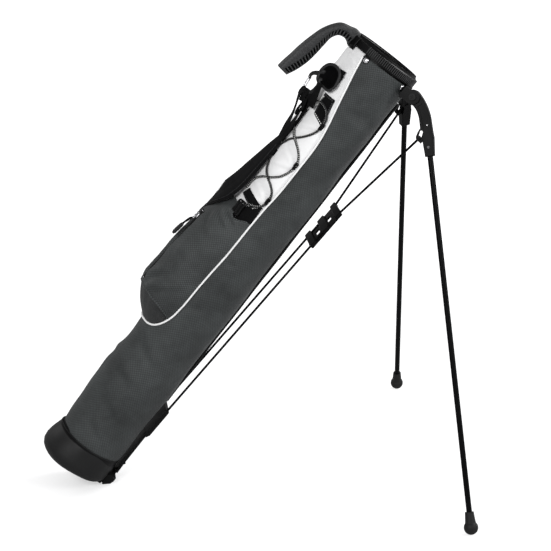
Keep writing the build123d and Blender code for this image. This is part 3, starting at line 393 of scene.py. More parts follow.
class Shader:
    """A material with one Principled shader, and short calls for its nodes."""

    def __init__(self, name, colour, roughness, **inputs):
        self.material = bpy.data.materials.new(name)
        self.material.use_nodes = True
        self.tree = self.material.node_tree
        self.tree.nodes.clear()
        output = self.node("OutputMaterial")
        self.principled = self.node("BsdfPrincipled")
        self.tree.links.new(self.principled.outputs[0], output.inputs[0])
        self.set("Base Color", (*colour, 1.0))
        self.set("Roughness", roughness)
        for key, value in inputs.items():
            self.set(key.replace("_", " "), value)

    def node(self, kind, **settings):
        node = self.tree.nodes.new("ShaderNode" + kind)
        for key, value in settings.items():
            setattr(node, key, value)
        return node

    def feed(self, node, key, value):
        """Link a socket, or give it a plain value."""
        if hasattr(value, "links"):
            self.tree.links.new(value, node.inputs[key])
        else:
            node.inputs[key].default_value = value

    def set(self, key, value):
        self.feed(self.principled, key, value)

    def math(self, operation, a, b=0.0):
        node = self.node("Math", operation=operation)
        for key, value in enumerate((a, b, 0.0)):
            self.feed(node, key, value)
        return node.outputs[0]

    def add(self, a, b):
        return self.math("ADD", a, b)

    def times(self, a, b):
        return self.math("MULTIPLY", a, b)

    def ripple(self, operation, coord, period):
        return self.math(operation, self.times(coord, 2 * math.pi / period))

    def uv(self):
        coords = self.node("TexCoord")
        split = self.node("SeparateXYZ")
        self.tree.links.new(coords.outputs["UV"], split.inputs[0])
        return split.outputs[0], split.outputs[1], coords.outputs["UV"]

    def object_coords(self):
        return self.node("TexCoord").outputs["Object"]

    def noise(self, vector, scale, detail=3.0, roughness=0.55, distortion=0.0):
        node = self.node("TexNoise")
        for key, value in (("Vector", vector), ("Scale", scale), ("Detail", detail),
                           ("Roughness", roughness), ("Distortion", distortion)):
            self.feed(node, key, value)
        return node.outputs[0]

    def remap(self, value, span, to):
        node = self.node("MapRange", clamp=True)
        keys = ("Value", "From Min", "From Max", "To Min", "To Max")
        for key, item in zip(keys, (value, *span, *to)):
            self.feed(node, key, item)
        return node.outputs[0]

    def tint(self, colour, factor):
        """Base colour: a plain colour times a varying factor."""
        rgb = self.node("RGB")
        rgb.outputs[0].default_value = (*colour, 1.0)
        scale = self.node("VectorMath", operation="SCALE")
        self.feed(scale, 0, rgb.outputs[0])
        self.feed(scale, "Scale", factor)
        self.set("Base Color", scale.outputs[0])

    def bump(self, height, strength, distance):
        """Surface relief; distance in mm."""
        node = self.node("Bump")
        self.feed(node, "Height", height)
        self.feed(node, "Strength", strength)
        self.feed(node, "Distance", distance / 1000.0)
        self.set("Normal", node.outputs[0])


def fabric(name, colour, dark=0.6, light=1.3, repeat=4.4, roughness=0.62, bump=0.6,
           sheen=0.12, streak=0.19):
    """Plain weave with a raised diamond dobby (repeat mm), uneven dye and light rubbing."""
    g = Shader(name, colour, roughness)
    u, v, uv = g.uv()
    diamond = g.times(g.ripple("COSINE", u, repeat), g.ripple("COSINE", v, repeat))
    weave = g.times(g.ripple("SINE", u, 0.9), g.ripple("SINE", v, 0.9))
    big = g.noise(uv, scale=0.011, detail=3.0, roughness=0.6)
    mid = g.noise(uv, scale=0.06, detail=4.0, roughness=0.6, distortion=0.4)
    tone = g.add(g.remap(big, span=(0.34, 0.66), to=(1 - streak * 1.5, 1 + streak * 1.5)),
                 g.remap(mid, span=NOISE, to=(-streak * 0.6, streak * 0.6)))
    tone = g.times(tone, g.remap(diamond, span=(-0.35, 0.8), to=(dark, light)))
    g.tint(colour, g.times(tone, g.remap(weave, span=WAVE, to=(0.94, 1.06))))
    relief = g.add(g.times(diamond, 0.6), g.times(weave, 0.25))
    g.bump(g.add(relief, g.times(mid, 1.2)), bump, distance=0.35)
    g.set("Roughness", g.remap(mid, span=NOISE, to=(roughness - 0.06, roughness + 0.08)))
    g.set("Sheen Weight", sheen)
    g.set("Sheen Roughness", 0.35)
    g.set("Specular IOR Level", 0.3)
    return g.material


def webbing(name, colour, pitch=2.1, bump=0.9):
    """Woven tape: herringbone ribs across its length, pitch mm apart."""
    g = Shader(name, colour, roughness=0.75)
    u, v, uv = g.uv()
    zigzag = g.math("PINGPONG", u, 2.4)
    rib = g.ripple("SINE", g.add(v, g.times(zigzag, 0.8)), pitch)
    fuzz = g.noise(uv, scale=0.5)
    g.tint(colour, g.add(g.remap(rib, span=WAVE, to=(0.6, 1.25)),
                         g.remap(fuzz, span=NOISE, to=(-0.15, 0.15))))
    g.bump(g.add(rib, g.times(fuzz, 0.8)), bump, distance=0.3)
    g.set("Sheen Weight", 0.02)
    g.set("Specular IOR Level", 0.08)
    return g.material


def plastic(name, colour, roughness, grain, scale=900.0, vary=0.12, spec=0.5):
    """Moulded plastic or rubber: fine grain, soft gloss changes, faint scuffs."""
    g = Shader(name, colour, roughness)
    place = g.object_coords()
    fine = g.noise(place, scale=scale, detail=2.0, roughness=0.6)
    big = g.noise(place, scale=22.0, detail=4.0, roughness=0.6)
    scuff = g.noise(place, scale=160.0, detail=5.0, roughness=0.7, distortion=1.5)
    g.tint(colour, g.add(g.remap(big, span=NOISE, to=(1 - vary, 1 + vary)),
                         g.remap(scuff, span=(0.62, 0.75), to=(0.0, 0.25))))
    g.set("Roughness", g.add(g.remap(big, span=NOISE, to=(roughness - 0.05, roughness + 0.05)),
                             g.remap(scuff, span=(0.6, 0.75), to=(0.0, 0.12))))
    g.bump(g.add(fine, g.times(scuff, 0.3)), grain, distance=0.12)
    g.set("Coat Weight", 0.0)
    g.set("Coat Roughness", 0.12)
    g.set("Specular IOR Level", spec)
    return g.material


def steel(name, colour, roughness):
    g = Shader(name, colour, roughness, Metallic=1.0)
    mottle = g.noise(g.object_coords(), scale=260.0)
    g.set("Roughness", g.remap(mottle, span=NOISE, to=(roughness - 0.06, roughness + 0.1)))
    g.bump(mottle, strength=0.08, distance=0.1)
    return g.material


def speckled_handle():
    """Rubber-coated grey with a dark and light speckle through it."""
    g = Shader("speckled_grey_handle", (0.05, 0.051, 0.053), roughness=0.6)
    place = g.object_coords()
    fine = g.noise(place, scale=900.0, detail=2.0, roughness=0.6)
    coarse = g.noise(place, scale=420.0, detail=3.0, roughness=0.7)
    big = g.noise(place, scale=25.0)
    speckle = g.times(g.remap(fine, span=(0.38, 0.62), to=(0.45, 1.6)),
                      g.remap(coarse, span=(0.35, 0.65), to=(0.75, 1.25)))
    g.tint((0.028, 0.0286, 0.0297), g.times(speckle, g.remap(big, span=NOISE, to=(0.9, 1.1))))
    g.bump(fine, strength=0.5, distance=0.15)
    g.set("Specular IOR Level", 0.35)
    return g.material


def flecked_cord():
    """Braided cord: black carrier with white tracer flecks turning round it."""
    strand, lay, fleck = 3.3, 10.6, 5.3     # mm: pitch along, slant and flecks round the cord
    g = Shader("flecked_cord", (0.006, 0.006, 0.006), roughness=0.6)
    u, v, _ = g.uv()

    def strands(operation):
        return g.math("FRACT", g.math(operation, g.times(v, 1 / strand), g.times(u, 1 / lay)))

    leaning = [strands("ADD"), strands("SUBTRACT")]
    fleck_on = g.times(g.math("GREATER_THAN", leaning[0], 0.8),
                       g.math("GREATER_THAN", g.ripple("SINE", u, fleck), 0.35))
    mix = g.node("Mix", data_type="RGBA")
    g.feed(mix, 0, fleck_on)
    g.feed(mix, 6, (0.003, 0.003, 0.0034, 1.0))     # carrier
    g.feed(mix, 7, (0.62, 0.62, 0.60, 1.0))         # fleck
    g.set("Base Color", mix.outputs[2])
    relief = [g.math("ABSOLUTE", g.math("SUBTRACT", t, 0.5)) for t in leaning]
    g.bump(g.math("MAXIMUM", *relief), strength=0.8, distance=0.5)
    return g.material


def boot_vinyl():
    """Pebbled vinyl, scuffed toward its bottom edge."""
    g = Shader("boot_vinyl", (0.0185, 0.0187, 0.0195), roughness=0.6, Specular_IOR_Level=0.25)
    _, v, uv = g.uv()
    pebble = g.noise(uv, scale=0.9, detail=3.0, roughness=0.6)
    big = g.noise(uv, scale=0.035, detail=4.0, roughness=0.6)
    scuff = g.noise(uv, scale=0.12, detail=6.0, roughness=0.75, distortion=2.0)
    low = g.remap(v, span=(0.0, 16.0), to=(0.25, 0.0))
    g.tint((0.0085, 0.0087, 0.009),
           g.add(g.remap(big, span=NOISE, to=(0.82, 1.18)),
                 g.times(g.remap(scuff, span=(0.55, 0.7), to=(0.0, 1.0)), low)))
    g.set("Roughness", g.remap(big, span=NOISE, to=(0.48, 0.62)))
    g.bump(g.add(pebble, g.times(big, 2.0)), strength=0.35, distance=0.3)
    return g.material


def ribbed_mesh():
    """Ribbed spacer mesh: close ribs with rows of pin holes."""
    colour = (0.035, 0.037, 0.038)
    g = Shader("ribbed_mesh", colour, roughness=0.75)
    u, v, _ = g.uv()
    rib = g.ripple("SINE", v, 3.0)
    pin = g.times(g.ripple("SINE", u, 1.8), rib)
    g.tint(colour, g.times(g.remap(rib, span=WAVE, to=(0.45, 1.35)),
                           g.remap(pin, span=WAVE, to=(0.85, 1.1))))
    g.bump(rib, strength=1.0, distance=0.7)
    return g.material


GREY_CLOTH = fabric("grey_dobby_cloth", (0.0445, 0.049, 0.0495), sheen=0.08)
POCKET_CLOTH = fabric("grey_dobby_cloth_pocket", (0.0475, 0.052, 0.0525), sheen=0.08)
WHITE_CLOTH = fabric("white_panel_cloth", (0.93, 0.93, 0.935), dark=0.975, light=1.01,
                     repeat=3.2, roughness=0.55, bump=0.12, sheen=0.1, streak=0.02)
LINER_CLOTH = fabric("liner_taffeta", (0.008, 0.008, 0.009), dark=0.9, light=1.05,
                     repeat=2.2, roughness=0.45, bump=0.25)
WEBBING = webbing("black_webbing_weave", (0.0045, 0.0045, 0.0048))
COVER_WEB = webbing("strap_cover_weave", (0.0048, 0.0048, 0.0052), pitch=1.5, bump=0.5)
BLACK = plastic("black_moulded_plastic", (0.0032, 0.0032, 0.0035), roughness=0.48, grain=0.3,
                spec=0.13)
ELBOW_BLACK = plastic("black_elbow_plastic", (0.0028, 0.0028, 0.0031), roughness=0.5,
                      grain=0.25, spec=0.1)
RIM_GREY = plastic("dark_grey_rim", (0.017, 0.0172, 0.0178), roughness=0.5, grain=0.3, spec=0.22)
RIB_GREY = plastic("grey_collar_rib", (0.030, 0.0305, 0.0315), roughness=0.5, grain=0.3,
                   spec=0.25)
CHARCOAL = plastic("charcoal_moulded_plastic", (0.0095, 0.0098, 0.0102), roughness=0.45,
                   grain=0.3, spec=0.3)
HANDLE_GREY = speckled_handle()
SOFT_BLACK = plastic("soft_black_grip", (0.0018, 0.0018, 0.002), roughness=0.8, grain=0.6,
                     spec=0.05)
RUBBER = plastic("black_rubber", (0.006, 0.006, 0.0063), roughness=0.62, grain=0.5, spec=0.3)
LEG_GLOSS = plastic("gloss_black_tube", (0.002, 0.002, 0.0023), roughness=0.36, grain=0.03,
                    vary=0.05, spec=0.07)
ROD_BLACK = plastic("black_coated_rod", (0.0015, 0.0015, 0.0018), roughness=0.4, grain=0.06,
                    spec=0.06)
DARK_STEEL = steel("blackened_steel", (0.05, 0.05, 0.052), roughness=0.4)
FOAM = plastic("closed_cell_foam", (0.03, 0.03, 0.032), roughness=0.9, grain=1.0, scale=420.0)
WHITE_THREAD = Shader("white_thread", (0.72, 0.72, 0.70), roughness=0.6).material
GREY_THREAD = Shader("grey_thread", (0.03, 0.03, 0.032), roughness=0.6).material
TRIM_CLOTH = fabric("white_piping_cloth", (0.96, 0.96, 0.96), dark=0.99, light=1.0,
                    repeat=1.4, roughness=0.4, bump=0.15, streak=0.015)
GATE_STEEL = steel("gate_wire_steel", (0.36, 0.36, 0.38), roughness=0.3)
BRIGHT_STEEL = steel("bright_steel", (0.78, 0.78, 0.80), roughness=0.24)
ZINC = steel("satin_zinc", (0.62, 0.62, 0.64), roughness=0.34)
CORD = flecked_cord()
BOOT_VINYL = boot_vinyl()
RIB_MESH = ribbed_mesh()

# ------------------------------------------------------------------ the front seam
# one side's seam from the collar down beside the panel and pocket, then round under the
# pocket to the front line: (angle, height)
SEAM = np.array([
    (135.6, 876.0), (130.5, 845), (126.0, 822), (121.3, 797), (117.3, 776), (112.5, 751),
    (109.3, 728), (107.6, 700), (107.8, 672), (108.0, 648), (108.3, 620), (109.6, 595),
    (111.0, 578), (112.0, 556), (112.6, 530), (113.0, 500), (113.5, 474), (116.0, 435),
    (118.0, 395), (119.5, 352), (124.0, 323), (131.5, 306), (140.0, 296.5), (150.0, 292),
    (165.0, 290.5), (180.0, 290)])
SEAM_LOW = 296      # below this height the seam runs round under the pocket
PANEL_BOTTOM = 500  # the sleeve is open in front above this height
seam_line = curve(SEAM * [ARC, 1], 500)


def seam_angle(z):
    """Angle of the side seam at a height."""
    side = seam_line[seam_line[:, 1] > 290.6][::-1]
    return np.interp(np.maximum(z, SEAM_LOW), side[:, 1], side[:, 0]) / ARC


def half_panel(z):
    """Angle from the front line to the seam."""
    return 180 - seam_angle(z)


def seam_height(from_front):
    """Height of the pocket's bottom seam at an angle from the front line."""
    low = seam_line[seam_line[:, 1] < 330]
    return np.interp(180 - np.abs(from_front), low[:, 0] / ARC, low[:, 1])


# ------------------------------------------------------------------ main sleeve
# creases, mirrored on both sides: (angle, height) of each end, width, depth, ridge offset
SLEEVE_FOLDS = (
    ((78, 62), (128, 96), 7, 0.8), ((92, 118), (150, 150), 9, 0.9),
    ((112, 186), (168, 205), 9, 1.1), ((98, 236), (146, 262), 8, 0.9),
    ((104, 790), (60, 796), 9, 1.3), ((108, 714), (72, 792), 16, 1.5, 1.3),
    ((113, 357), (92, 370), 5, 0.75), ((107, 459), (92, 468), 5, 0.7),
    ((66, 838), (96, 812), 8, 0.7), ((60, 560), (98, 603), 12, 0.6),
    ((50, 330), (84, 395), 14, 0.6), ((46, 640), (86, 700), 14, 0.6),
    ((107, 612), (84, 640), 7, 0.6), ((108, 540), (90, 552), 6, 0.55))
sleeve_sag = waves(11, 16, 70, 260, 2 * math.pi * RADIUS)
sleeve_ripple = waves(12, 22, 22, 70, 2 * math.pi * RADIUS)


def sleeve_radius(angle, z):
    forward = -np.cos(np.radians(angle))
    front = smooth_step(-0.1, 1.0, forward)
    r = (RADIUS + 0.75 * sleeve_sag(angle * ARC, z)
         + 0.24 * sleeve_ripple(angle * ARC, z) * bell(np.abs(angle), 70, 45))
    # drawn in where it meets the base
    r = r - 2.6 * bell(z, 50, 20) * (0.25 + 0.75 * front) - 0.9 * bell(z, 50, 6)
    # slack cloth low on the front, and the hollows above and below it
    r = r + 1.3 * bell(z, 175, 60) * front * (1 + 0.5 * np.cos(z / 13.0 + angle * 0.06))
    r = r - 2.2 * bell(z, 250, 30) * front
    r = r - 1.2 * bell(z, 112, 22) * smooth_step(0.4, 1.0, forward)
    for side in SIDES:
        r = r + folds(side * angle, z, SLEEVE_FOLDS)
    # small puckers along the seam
    seam = np.where(z > SEAM_LOW, seam_angle(z), 180)
    near = np.exp(-np.clip(seam - np.abs(angle), 0, 60) / 4.0) * (z > SEAM_LOW)
    r = r + 0.22 * near * np.sin(z / 4.1 + 2.2 * np.sin(z / 31.0))
    # gathers under the collar
    return r + 0.35 * np.exp(-(883 - z) / 14.0) * np.sin(angle * 0.31) * (z > 800)


def sleeve():
    heights = np.r_[50.4, 53.2, np.arange(56, 884, 4.0)]
    core_end, n_edge, n_front = 106.5, 8, 24    # columns: even, to the seam, to the front
    core = np.linspace(0, core_end, 38)
    rows = []
    for z in heights:
        edge = float(seam_angle(z)) if z > PANEL_BOTTOM else 113.0
        half = np.r_[core, core_end + (edge - core_end) * np.arange(1, n_edge + 1) / n_edge,
                     edge + (180 - edge) * np.arange(1, n_front + 1) / n_front]
        rows.append(np.r_[-half[:0:-1], half[:-1]])
    angles = np.array(rows)
    n_cols = angles.shape[1]
    z = np.repeat(heights[:, None], n_cols, 1)
    keep = np.ones((len(heights) - 1, n_cols), bool)
    keep[heights[:-1] >= PANEL_BOTTOM - 1e-6] = False
    middle, reach = n_cols // 2, len(core) + n_edge - 1
    keep[:, middle - reach:middle + reach] = True
    shape = Shape()
    shape.grid(polar(angles, z, sleeve_radius(angles, z)), u=wrapped(angles, 360) * ARC,
               v=wrapped(z), wrap=True, keep=keep)
    shape.make("main_sleeve_cloth", GREY_CLOTH, ["body_sleeve"], thickness=1.5)


def sleeve_topstitch():
    """A line of stitches beside each seam."""
    shape = Shape()
    z = np.linspace(302, 870, 500)
    for side in SIDES:
        angle = side * (seam_angle(z) - 3.4)
        shape.stitches(polar(angle, z, sleeve_radius(angle, z) + 0.10), 2.6, 1.3, 0.28)
    shape.make("sleeve_topstitch", GREY_THREAD)


# ------------------------------------------------------------------ white front panel
# angles here are from the front line
PANEL_FOLDS = (
    ((41, 866), (14, 872), 3.2, 1.0), ((-41, 866), (-14, 872), 3.2, 1.0),
    ((36, 850), (8, 838), 4.5, 0.8), ((-30, 826), (4, 815), 5.0, 0.8),
    ((-44, 800), (-20, 789), 4.0, 0.6), ((30, 700), (-6, 688), 5.0, 0.7))
panel_ripple = waves(21, 18, 18, 80)


def panel_radius(angle, z):
    f = angle - 180
    r = RADIUS - 0.35 + 0.28 * panel_ripple(f * ARC, z)
    edge = half_panel(z)
    # cloth pulled in by the laced cord, standing proud between
    for height, rise in ((600, 0.9), (663, 1.1), (735, 1.0)):
        r = r + rise * bell(z, height, 17.0) * bell(f, 0, 30.0)
    for side in SIDES:
        for height in (588, 664, 743):
            start = side * (edge - 2)
            r = r - 1.0 * bell(z, height, 9.0) * bell(f, side * (edge - 4), 9.0)
            r = r + fold(f, z, (start, height + 2), (side * 24, height + 22), 3.4, 0.8)
            r = r + fold(f, z, (start, height - 3), (side * 26, height - 20), 3.4, -0.7)
    return r + folds(f, z, PANEL_FOLDS)


def front_panel():
    heights = np.arange(500.6, 884, 3.5)
    across = np.linspace(-1, 1, 57)
    angles = 180 + across * (half_panel(heights)[:, None] + 0.4)
    z = np.repeat(heights[:, None], len(across), 1)
    shape = Shape()
    shape.grid(polar(angles, z, panel_radius(angles, z)), u=angles * ARC, v=z)
    shape.make("front_panel_cloth", WHITE_CLOTH, ["front_panel"], thickness=1.2)


def piping():
    """One cord down the near seam, under the pocket and up the far seam."""
    near = SEAM * [-1, 1]
    far = (SEAM - [360, 0])[-2::-1]
    line = curve(np.vstack([near, far]) * [ARC, 1], 900)
    z = line[:, 1]
    shape = Shape()
    shape.tube(polar(line[:, 0] / ARC, z, RADIUS + 1.5 + 0.12 * np.sin(z / 7.0)), 1.75, seg=10)
    shape.make("white_piping", TRIM_CLOTH, ["panel_piping"])


# ------------------------------------------------------------------ pocket
# heights of the pocket's top and bottom edges: distance across from its middle (0 to 1), height
POCKET_TOP = np.array([(0, 554), (0.30, 553.5), (0.40, 551), (0.47, 544), (0.55, 534.5),
                       (0.63, 530.5), (0.72, 532), (0.85, 537.5), (1.0, 541.5)])
POCKET_LOW = np.array([(0, 341.5), (0.3, 340.5), (0.6, 335.5), (0.85, 328), (1.0, 322.5)])
# how far the middle of the pocket stands off the tube: height, distance
POCKET_DEPTH = np.array([
    (286, 0), (300, 12), (322, 30), (335, 38.5), (344, 41.2), (359, 42), (398, 41),
    (424, 40), (447, 36.8), (469, 33.6), (490, 31), (505, 27), (515, 23), (530, 15),
    (543, 7.5), (550, 3.6), (556, 1.8)])
POCKET_RADIUS = 80      # mean radius its creases are laid out on
# creases at the top corners, beside the zip and low on the flanks, mirrored
POCKET_FOLDS = (
    ((20, 524), (42, 506), 4.5, 1.5), ((26, 534), (50, 520), 3.2, 1.3),
    ((14, 512), (30, 478), 5.5, 1.0), ((8, 345), (30, 392), 6, 1.3),
    ((20, 336), (46, 372), 5, 1.2), ((38, 332), (56, 398), 7, 0.9),
    ((50, 420), (34, 452), 8, 0.8), ((12, 430), (26, 400), 7, 0.7))
ZIP_CENTRE = np.array([-97.4, -2.0, 425.0])
ZIP_SLOPE = 0.075       # x per unit of height along the zip
pocket_ripple = waves(31, 20, 16, 60)
pocket_sag = waves(32, 10, 60, 180)


def pocket_surface(across, z):
    """Radius and angle from the front line, for across from -1 to 1."""
    phi = across * half_panel(z)
    profile = np.clip(1 - np.abs(across) ** 2.05, 0, 1) ** 0.86
    r = RADIUS + 0.4 + np.interp(z, *POCKET_DEPTH.T) * profile
    from_zip = r * np.sin(np.radians(-phi)) - ZIP_CENTRE[1]
    loose = np.clip(1 - np.abs(across) ** 6, 0, 1)
    u = np.radians(phi) * POCKET_RADIUS
    r = r + loose * (0.55 * pocket_sag(u, z) + 0.22 * pocket_ripple(u, z))
    for side in SIDES:
        r = r + loose * folds(phi * side, z, POCKET_FOLDS, POCKET_RADIUS)
    # puckers close to the side seams
    r = (r + loose * 0.5 * np.exp(-((1 - np.abs(across)) / 0.05))
         * np.sin(z / 4.6 + np.sin(z / 23.0)))
    # flat seat for the zip just near of the front line
    span = smooth_step(338, 352, z) * (1 - smooth_step(497, 520, z))
    seat = np.exp(-(from_zip / 8.5) ** 4) * span
    seat_x = ZIP_CENTRE[0] + ZIP_SLOPE * (z - ZIP_CENTRE[2]) + 1.1
    seat_r = -seat_x / np.maximum(np.cos(np.radians(phi)), 0.5)
    lip = bell(np.abs(from_zip), 11.5, 4.0) * span
    return r * (1 - seat) + seat_r * seat + 0.5 * lip, phi


pocket_across = np.linspace(-1, 1, 121)
rise = np.linspace(0, 1, 76)
rise = rise - 0.03 * np.sin(2 * math.pi * rise)
pocket_bottom = np.interp(np.abs(pocket_across), *POCKET_LOW.T)
pocket_top = np.interp(np.abs(pocket_across), *POCKET_TOP.T)
pocket_z = pocket_bottom + (pocket_top - pocket_bottom) * rise[:, None]
pocket_r, pocket_phi = pocket_surface(np.tile(pocket_across, (len(rise), 1)), pocket_z)
pocket_points = polar(180 + pocket_phi, pocket_z, pocket_r)


def pocket():
    shape = Shape()
    shape.grid(pocket_points, u=np.radians(pocket_phi) * 84, v=pocket_z)
    shape.make("pocket_cloth", POCKET_CLOTH, ["front_pocket"], thickness=1.2)


def pocket_hems():
    """Rolled hems on the top and bottom edges, with a row of stitches by each."""
    shape = Shape()
    shape.tube(pushed(curve(pocket_points[-1][6:-6], 240), 0.1), 1.15, seg=8, flat=0.8)
    shape.tube(pushed(curve(pocket_points[0][1:-1], 260), -0.2), 1.35, seg=8)
    for row, trim in ((4, 3), (-4, 8)):
        line = pushed(pocket_points[row], 0.15)[trim:-trim]
        shape.stitches(curve(line, 500), 2.6, 1.3, 0.27, mat=1)
    shape.make("pocket_hems", [POCKET_CLOTH, GREY_THREAD])


def mesh_gusset():
    """Ribbed mesh under the pocket, from its lower hem back to the piping."""
    t = np.linspace(0, 1, 22)
    front_edge = pushed(pocket_points[0], -0.5)
    phi = pocket_phi[0] * 0.995
    seam_edge = polar(180 + phi, seam_height(phi) + 1.0, RADIUS + 0.7)
    share = t[:, None, None]
    slack = np.sin(share * math.pi) * np.clip(1 - pocket_across ** 2, 0, 1)[None, :, None]
    out = outward(front_edge)
    ripple = 0.5 * np.sin(pocket_across * 17 + 3 * t[:, None])[..., None]
    sheet = (front_edge * (1 - share) + seam_edge * share
             + slack * (out * 2.4 + np.array([0, 0, -2.0])) + ripple * slack * out)
    shape = Shape()
    shape.grid(sheet[::-1], u=np.tile(lengths(front_edge), (len(t), 1)),
               v=np.repeat((t[::-1] * 60)[:, None], len(pocket_across), 1))
    shape.make("pocket_mesh_panel", RIB_MESH, ["pocket_mesh_gusset"],
               thickness=1.0)


# ------------------------------------------------------------------ pocket zip
# local axes: x across the zip, y up along it, z out of the pocket
zip_out = unit([-1.0, -0.02, ZIP_SLOPE])
zip_up = square_to(np.array([ZIP_SLOPE, 0.0, 1.0]), zip_out)
ZIP_AXES = np.array([np.cross(zip_up, zip_out), zip_up, zip_out])
zip_at = in_frame(ZIP_CENTRE, ZIP_AXES)
TAPE_PROFILE = ((1.3, -0.2), (1.9, 0.02), (3.2, 0.0), (6.0, -0.1), (8.8, -0.5), (9.4, -1.3))
SLIDER_Y = 66.0
PULL_Y = SLIDER_Y - 0.2


def zip_tape():
    shape = Shape()
    ys = np.linspace(-79, 79, 94)
    for side in SIDES:
        sheet = zip_at([[(side * x, y, h + 0.12 * math.sin(y / 5.0) * (x > 3))
                         for x, h in TAPE_PROFILE] for y in ys])
        shape.grid(sheet if side < 0 else sheet[:, ::-1], flip=side > 0)
        shape.tube(zip_at([(side * 2.3, y, 0.05) for y in ys]), 0.75, seg=8)
        shape.stitches(zip_at([(side * 5.6, y, 0.12) for y in ys]), 2.4, 1.3, 0.25, mat=1)
    shape.make("zip_tape_cloth", [WEBBING, GREY_THREAD], ["pocket_zip_tape"],
               thickness=0.6)


def zip_teeth():
    shape = Shape()
    for k, y in enumerate(np.arange(-76.0, 76, 1.1)):
        x = 0.55 if k % 2 else -0.55
        shape.box(zip_at([x, y, 0.15]), ZIP_AXES, (1.35, 0.42, 0.55), chamfer=0.4)
    shape.make("zip_teeth_row", BLACK)


def zip_stops():
    shape = Shape()
    for y in (-77.6, 77.4):
        shape.box(zip_at([0, y, 0.2]), ZIP_AXES, (2.6, 1.0, 0.8))
    shape.make("zip_end_stops", ZINC)


def zip_slider():
    """A soft-edged wedge with an arch over it."""
    shape = Shape()
    rings = []
    for t in np.linspace(-1, 1, 13):
        half_w = 4.3 * (1 - 0.32 * (t * 0.5 + 0.5) ** 2) * math.sqrt(max(1 - abs(t) ** 5, 0.12))
        half_h = 1.15 * math.sqrt(max(1 - abs(t) ** 6, 0.1))
        rings.append(zip_at([(x, SLIDER_Y + 5.6 * t, 1.25 + z)
                             for x, z in soft_oval(half_w, half_h, 0.6, 20)]))
    shape.rings(rings)
    arch = curve([(0, -4.2, 1.9), (0, -3.2, 4.2), (0, -0.2, 5.4), (0, 3.0, 4.3), (0, 4.3, 1.9)], 24)
    shape.tube(zip_at(arch + [0, SLIDER_Y, 0]), 0.95, seg=8, flat=1.2)
    shape.make("zip_slider_body", ZINC, ["zip_slider"], body="zip_slider")


def zip_pull():
    """A wire ring, two cord legs and a ridged tab."""
    shape = Shape()
    ring = curve([(0, 0, 3.75), (2.6, -1.6, 3.9), (3.3, -5.2, 4.4), (2.6, -8.6, 5.3),
                  (0, -10.0, 5.8), (-2.6, -8.6, 5.3), (-3.3, -5.2, 4.4), (-2.6, -1.6, 3.9)],
                 40, closed=True)
    shape.tube(zip_at(ring + [0, PULL_Y, 0]), 0.75, seg=8, closed=True)
    for side in SIDES:
        leg = curve([(side * 0.4, -9.2, 6.3), (side * 2.2, -11.5, 7.6), (side * 2.8, -17.0, 9.2),
                     (side * 1.7, -24.0, 11.0), (side * 1.5, -29.0, 11.8)], 30)
        shape.tube(zip_at(leg + [0, PULL_Y, 0]), 1.25, seg=9, mat=1)
    rings = []
    for t in np.linspace(0, 1, 16):
        start = 0.55 + 0.45 * min(1, t * 7)
        half_w = (4.2 + 1.9 * math.sin(t * math.pi * 0.62)) * start * (1 if t < 0.93 else 0.8)
        start = 0.6 + 0.4 * min(1, t * 7)
        half_h = (2.7 + 0.6 * math.sin(t * math.pi)) * start * (1 if t < 0.93 else 0.65)
        groove = 1 - 0.10 * (0.5 + 0.5 * math.cos(t * 2 * math.pi * 6)) * (0.25 < t < 0.85)
        oval = soft_oval(half_w * groove, half_h * groove, 0.7, 18)
        rings.append(zip_at([(x, PULL_Y - 26.0 - 25.0 * t, 11.4 + 2.2 * t + z)
                             for x, z in oval]))
    shape.rings(rings, mat=2)
    shape.make("zip_pull_cord_tab", [ZINC, WEBBING, RUBBER], ["zip_pull"],
               body="zip_pull")


# ------------------------------------------------------------------ base cup
BOOT_WALL = np.array([(-2, 54.5), (0, 57.6), (3, 60.8), (8, 62.9), (16, 63.9), (28, 63.6),
                      (40, 62.9), (46, 62.4), (49.5, 61.9), (51.5, 61.0)])  # height, radius
BOOT_FLARE = np.array([(-2, 2.5), (2, 4.2), (8, 5.6), (16, 5.6), (26, 4.2), (38, 1.4),
                       (52, -1.6)])     # height, extra radius at the front
BOOT_FLOOR = 54.5       # nominal radius of the wall's bottom edge
BOOT_SAG = 4.5          # how far the front of the bottom edge hangs
boot_ripple = waves(41, 12, 30, 120, 2 * math.pi * 62)


def boot_radius(angle, z):
    cos = np.cos(np.radians(angle))
    flare = np.interp(z, *BOOT_FLARE.T) * smooth_step(-0.35, 1.0, -cos)
    flat_back = 0.9 * smooth_step(0.55, 1.0, cos) * np.interp(z, [0, 20], [1, 0.6])
    return (np.interp(z, *BOOT_WALL.T) + flare - flat_back
            + 0.25 * boot_ripple(np.radians(angle) * 62, z))


def front_half(angle):
    return smooth_step(-0.2, 1.0, -np.cos(np.radians(angle)))


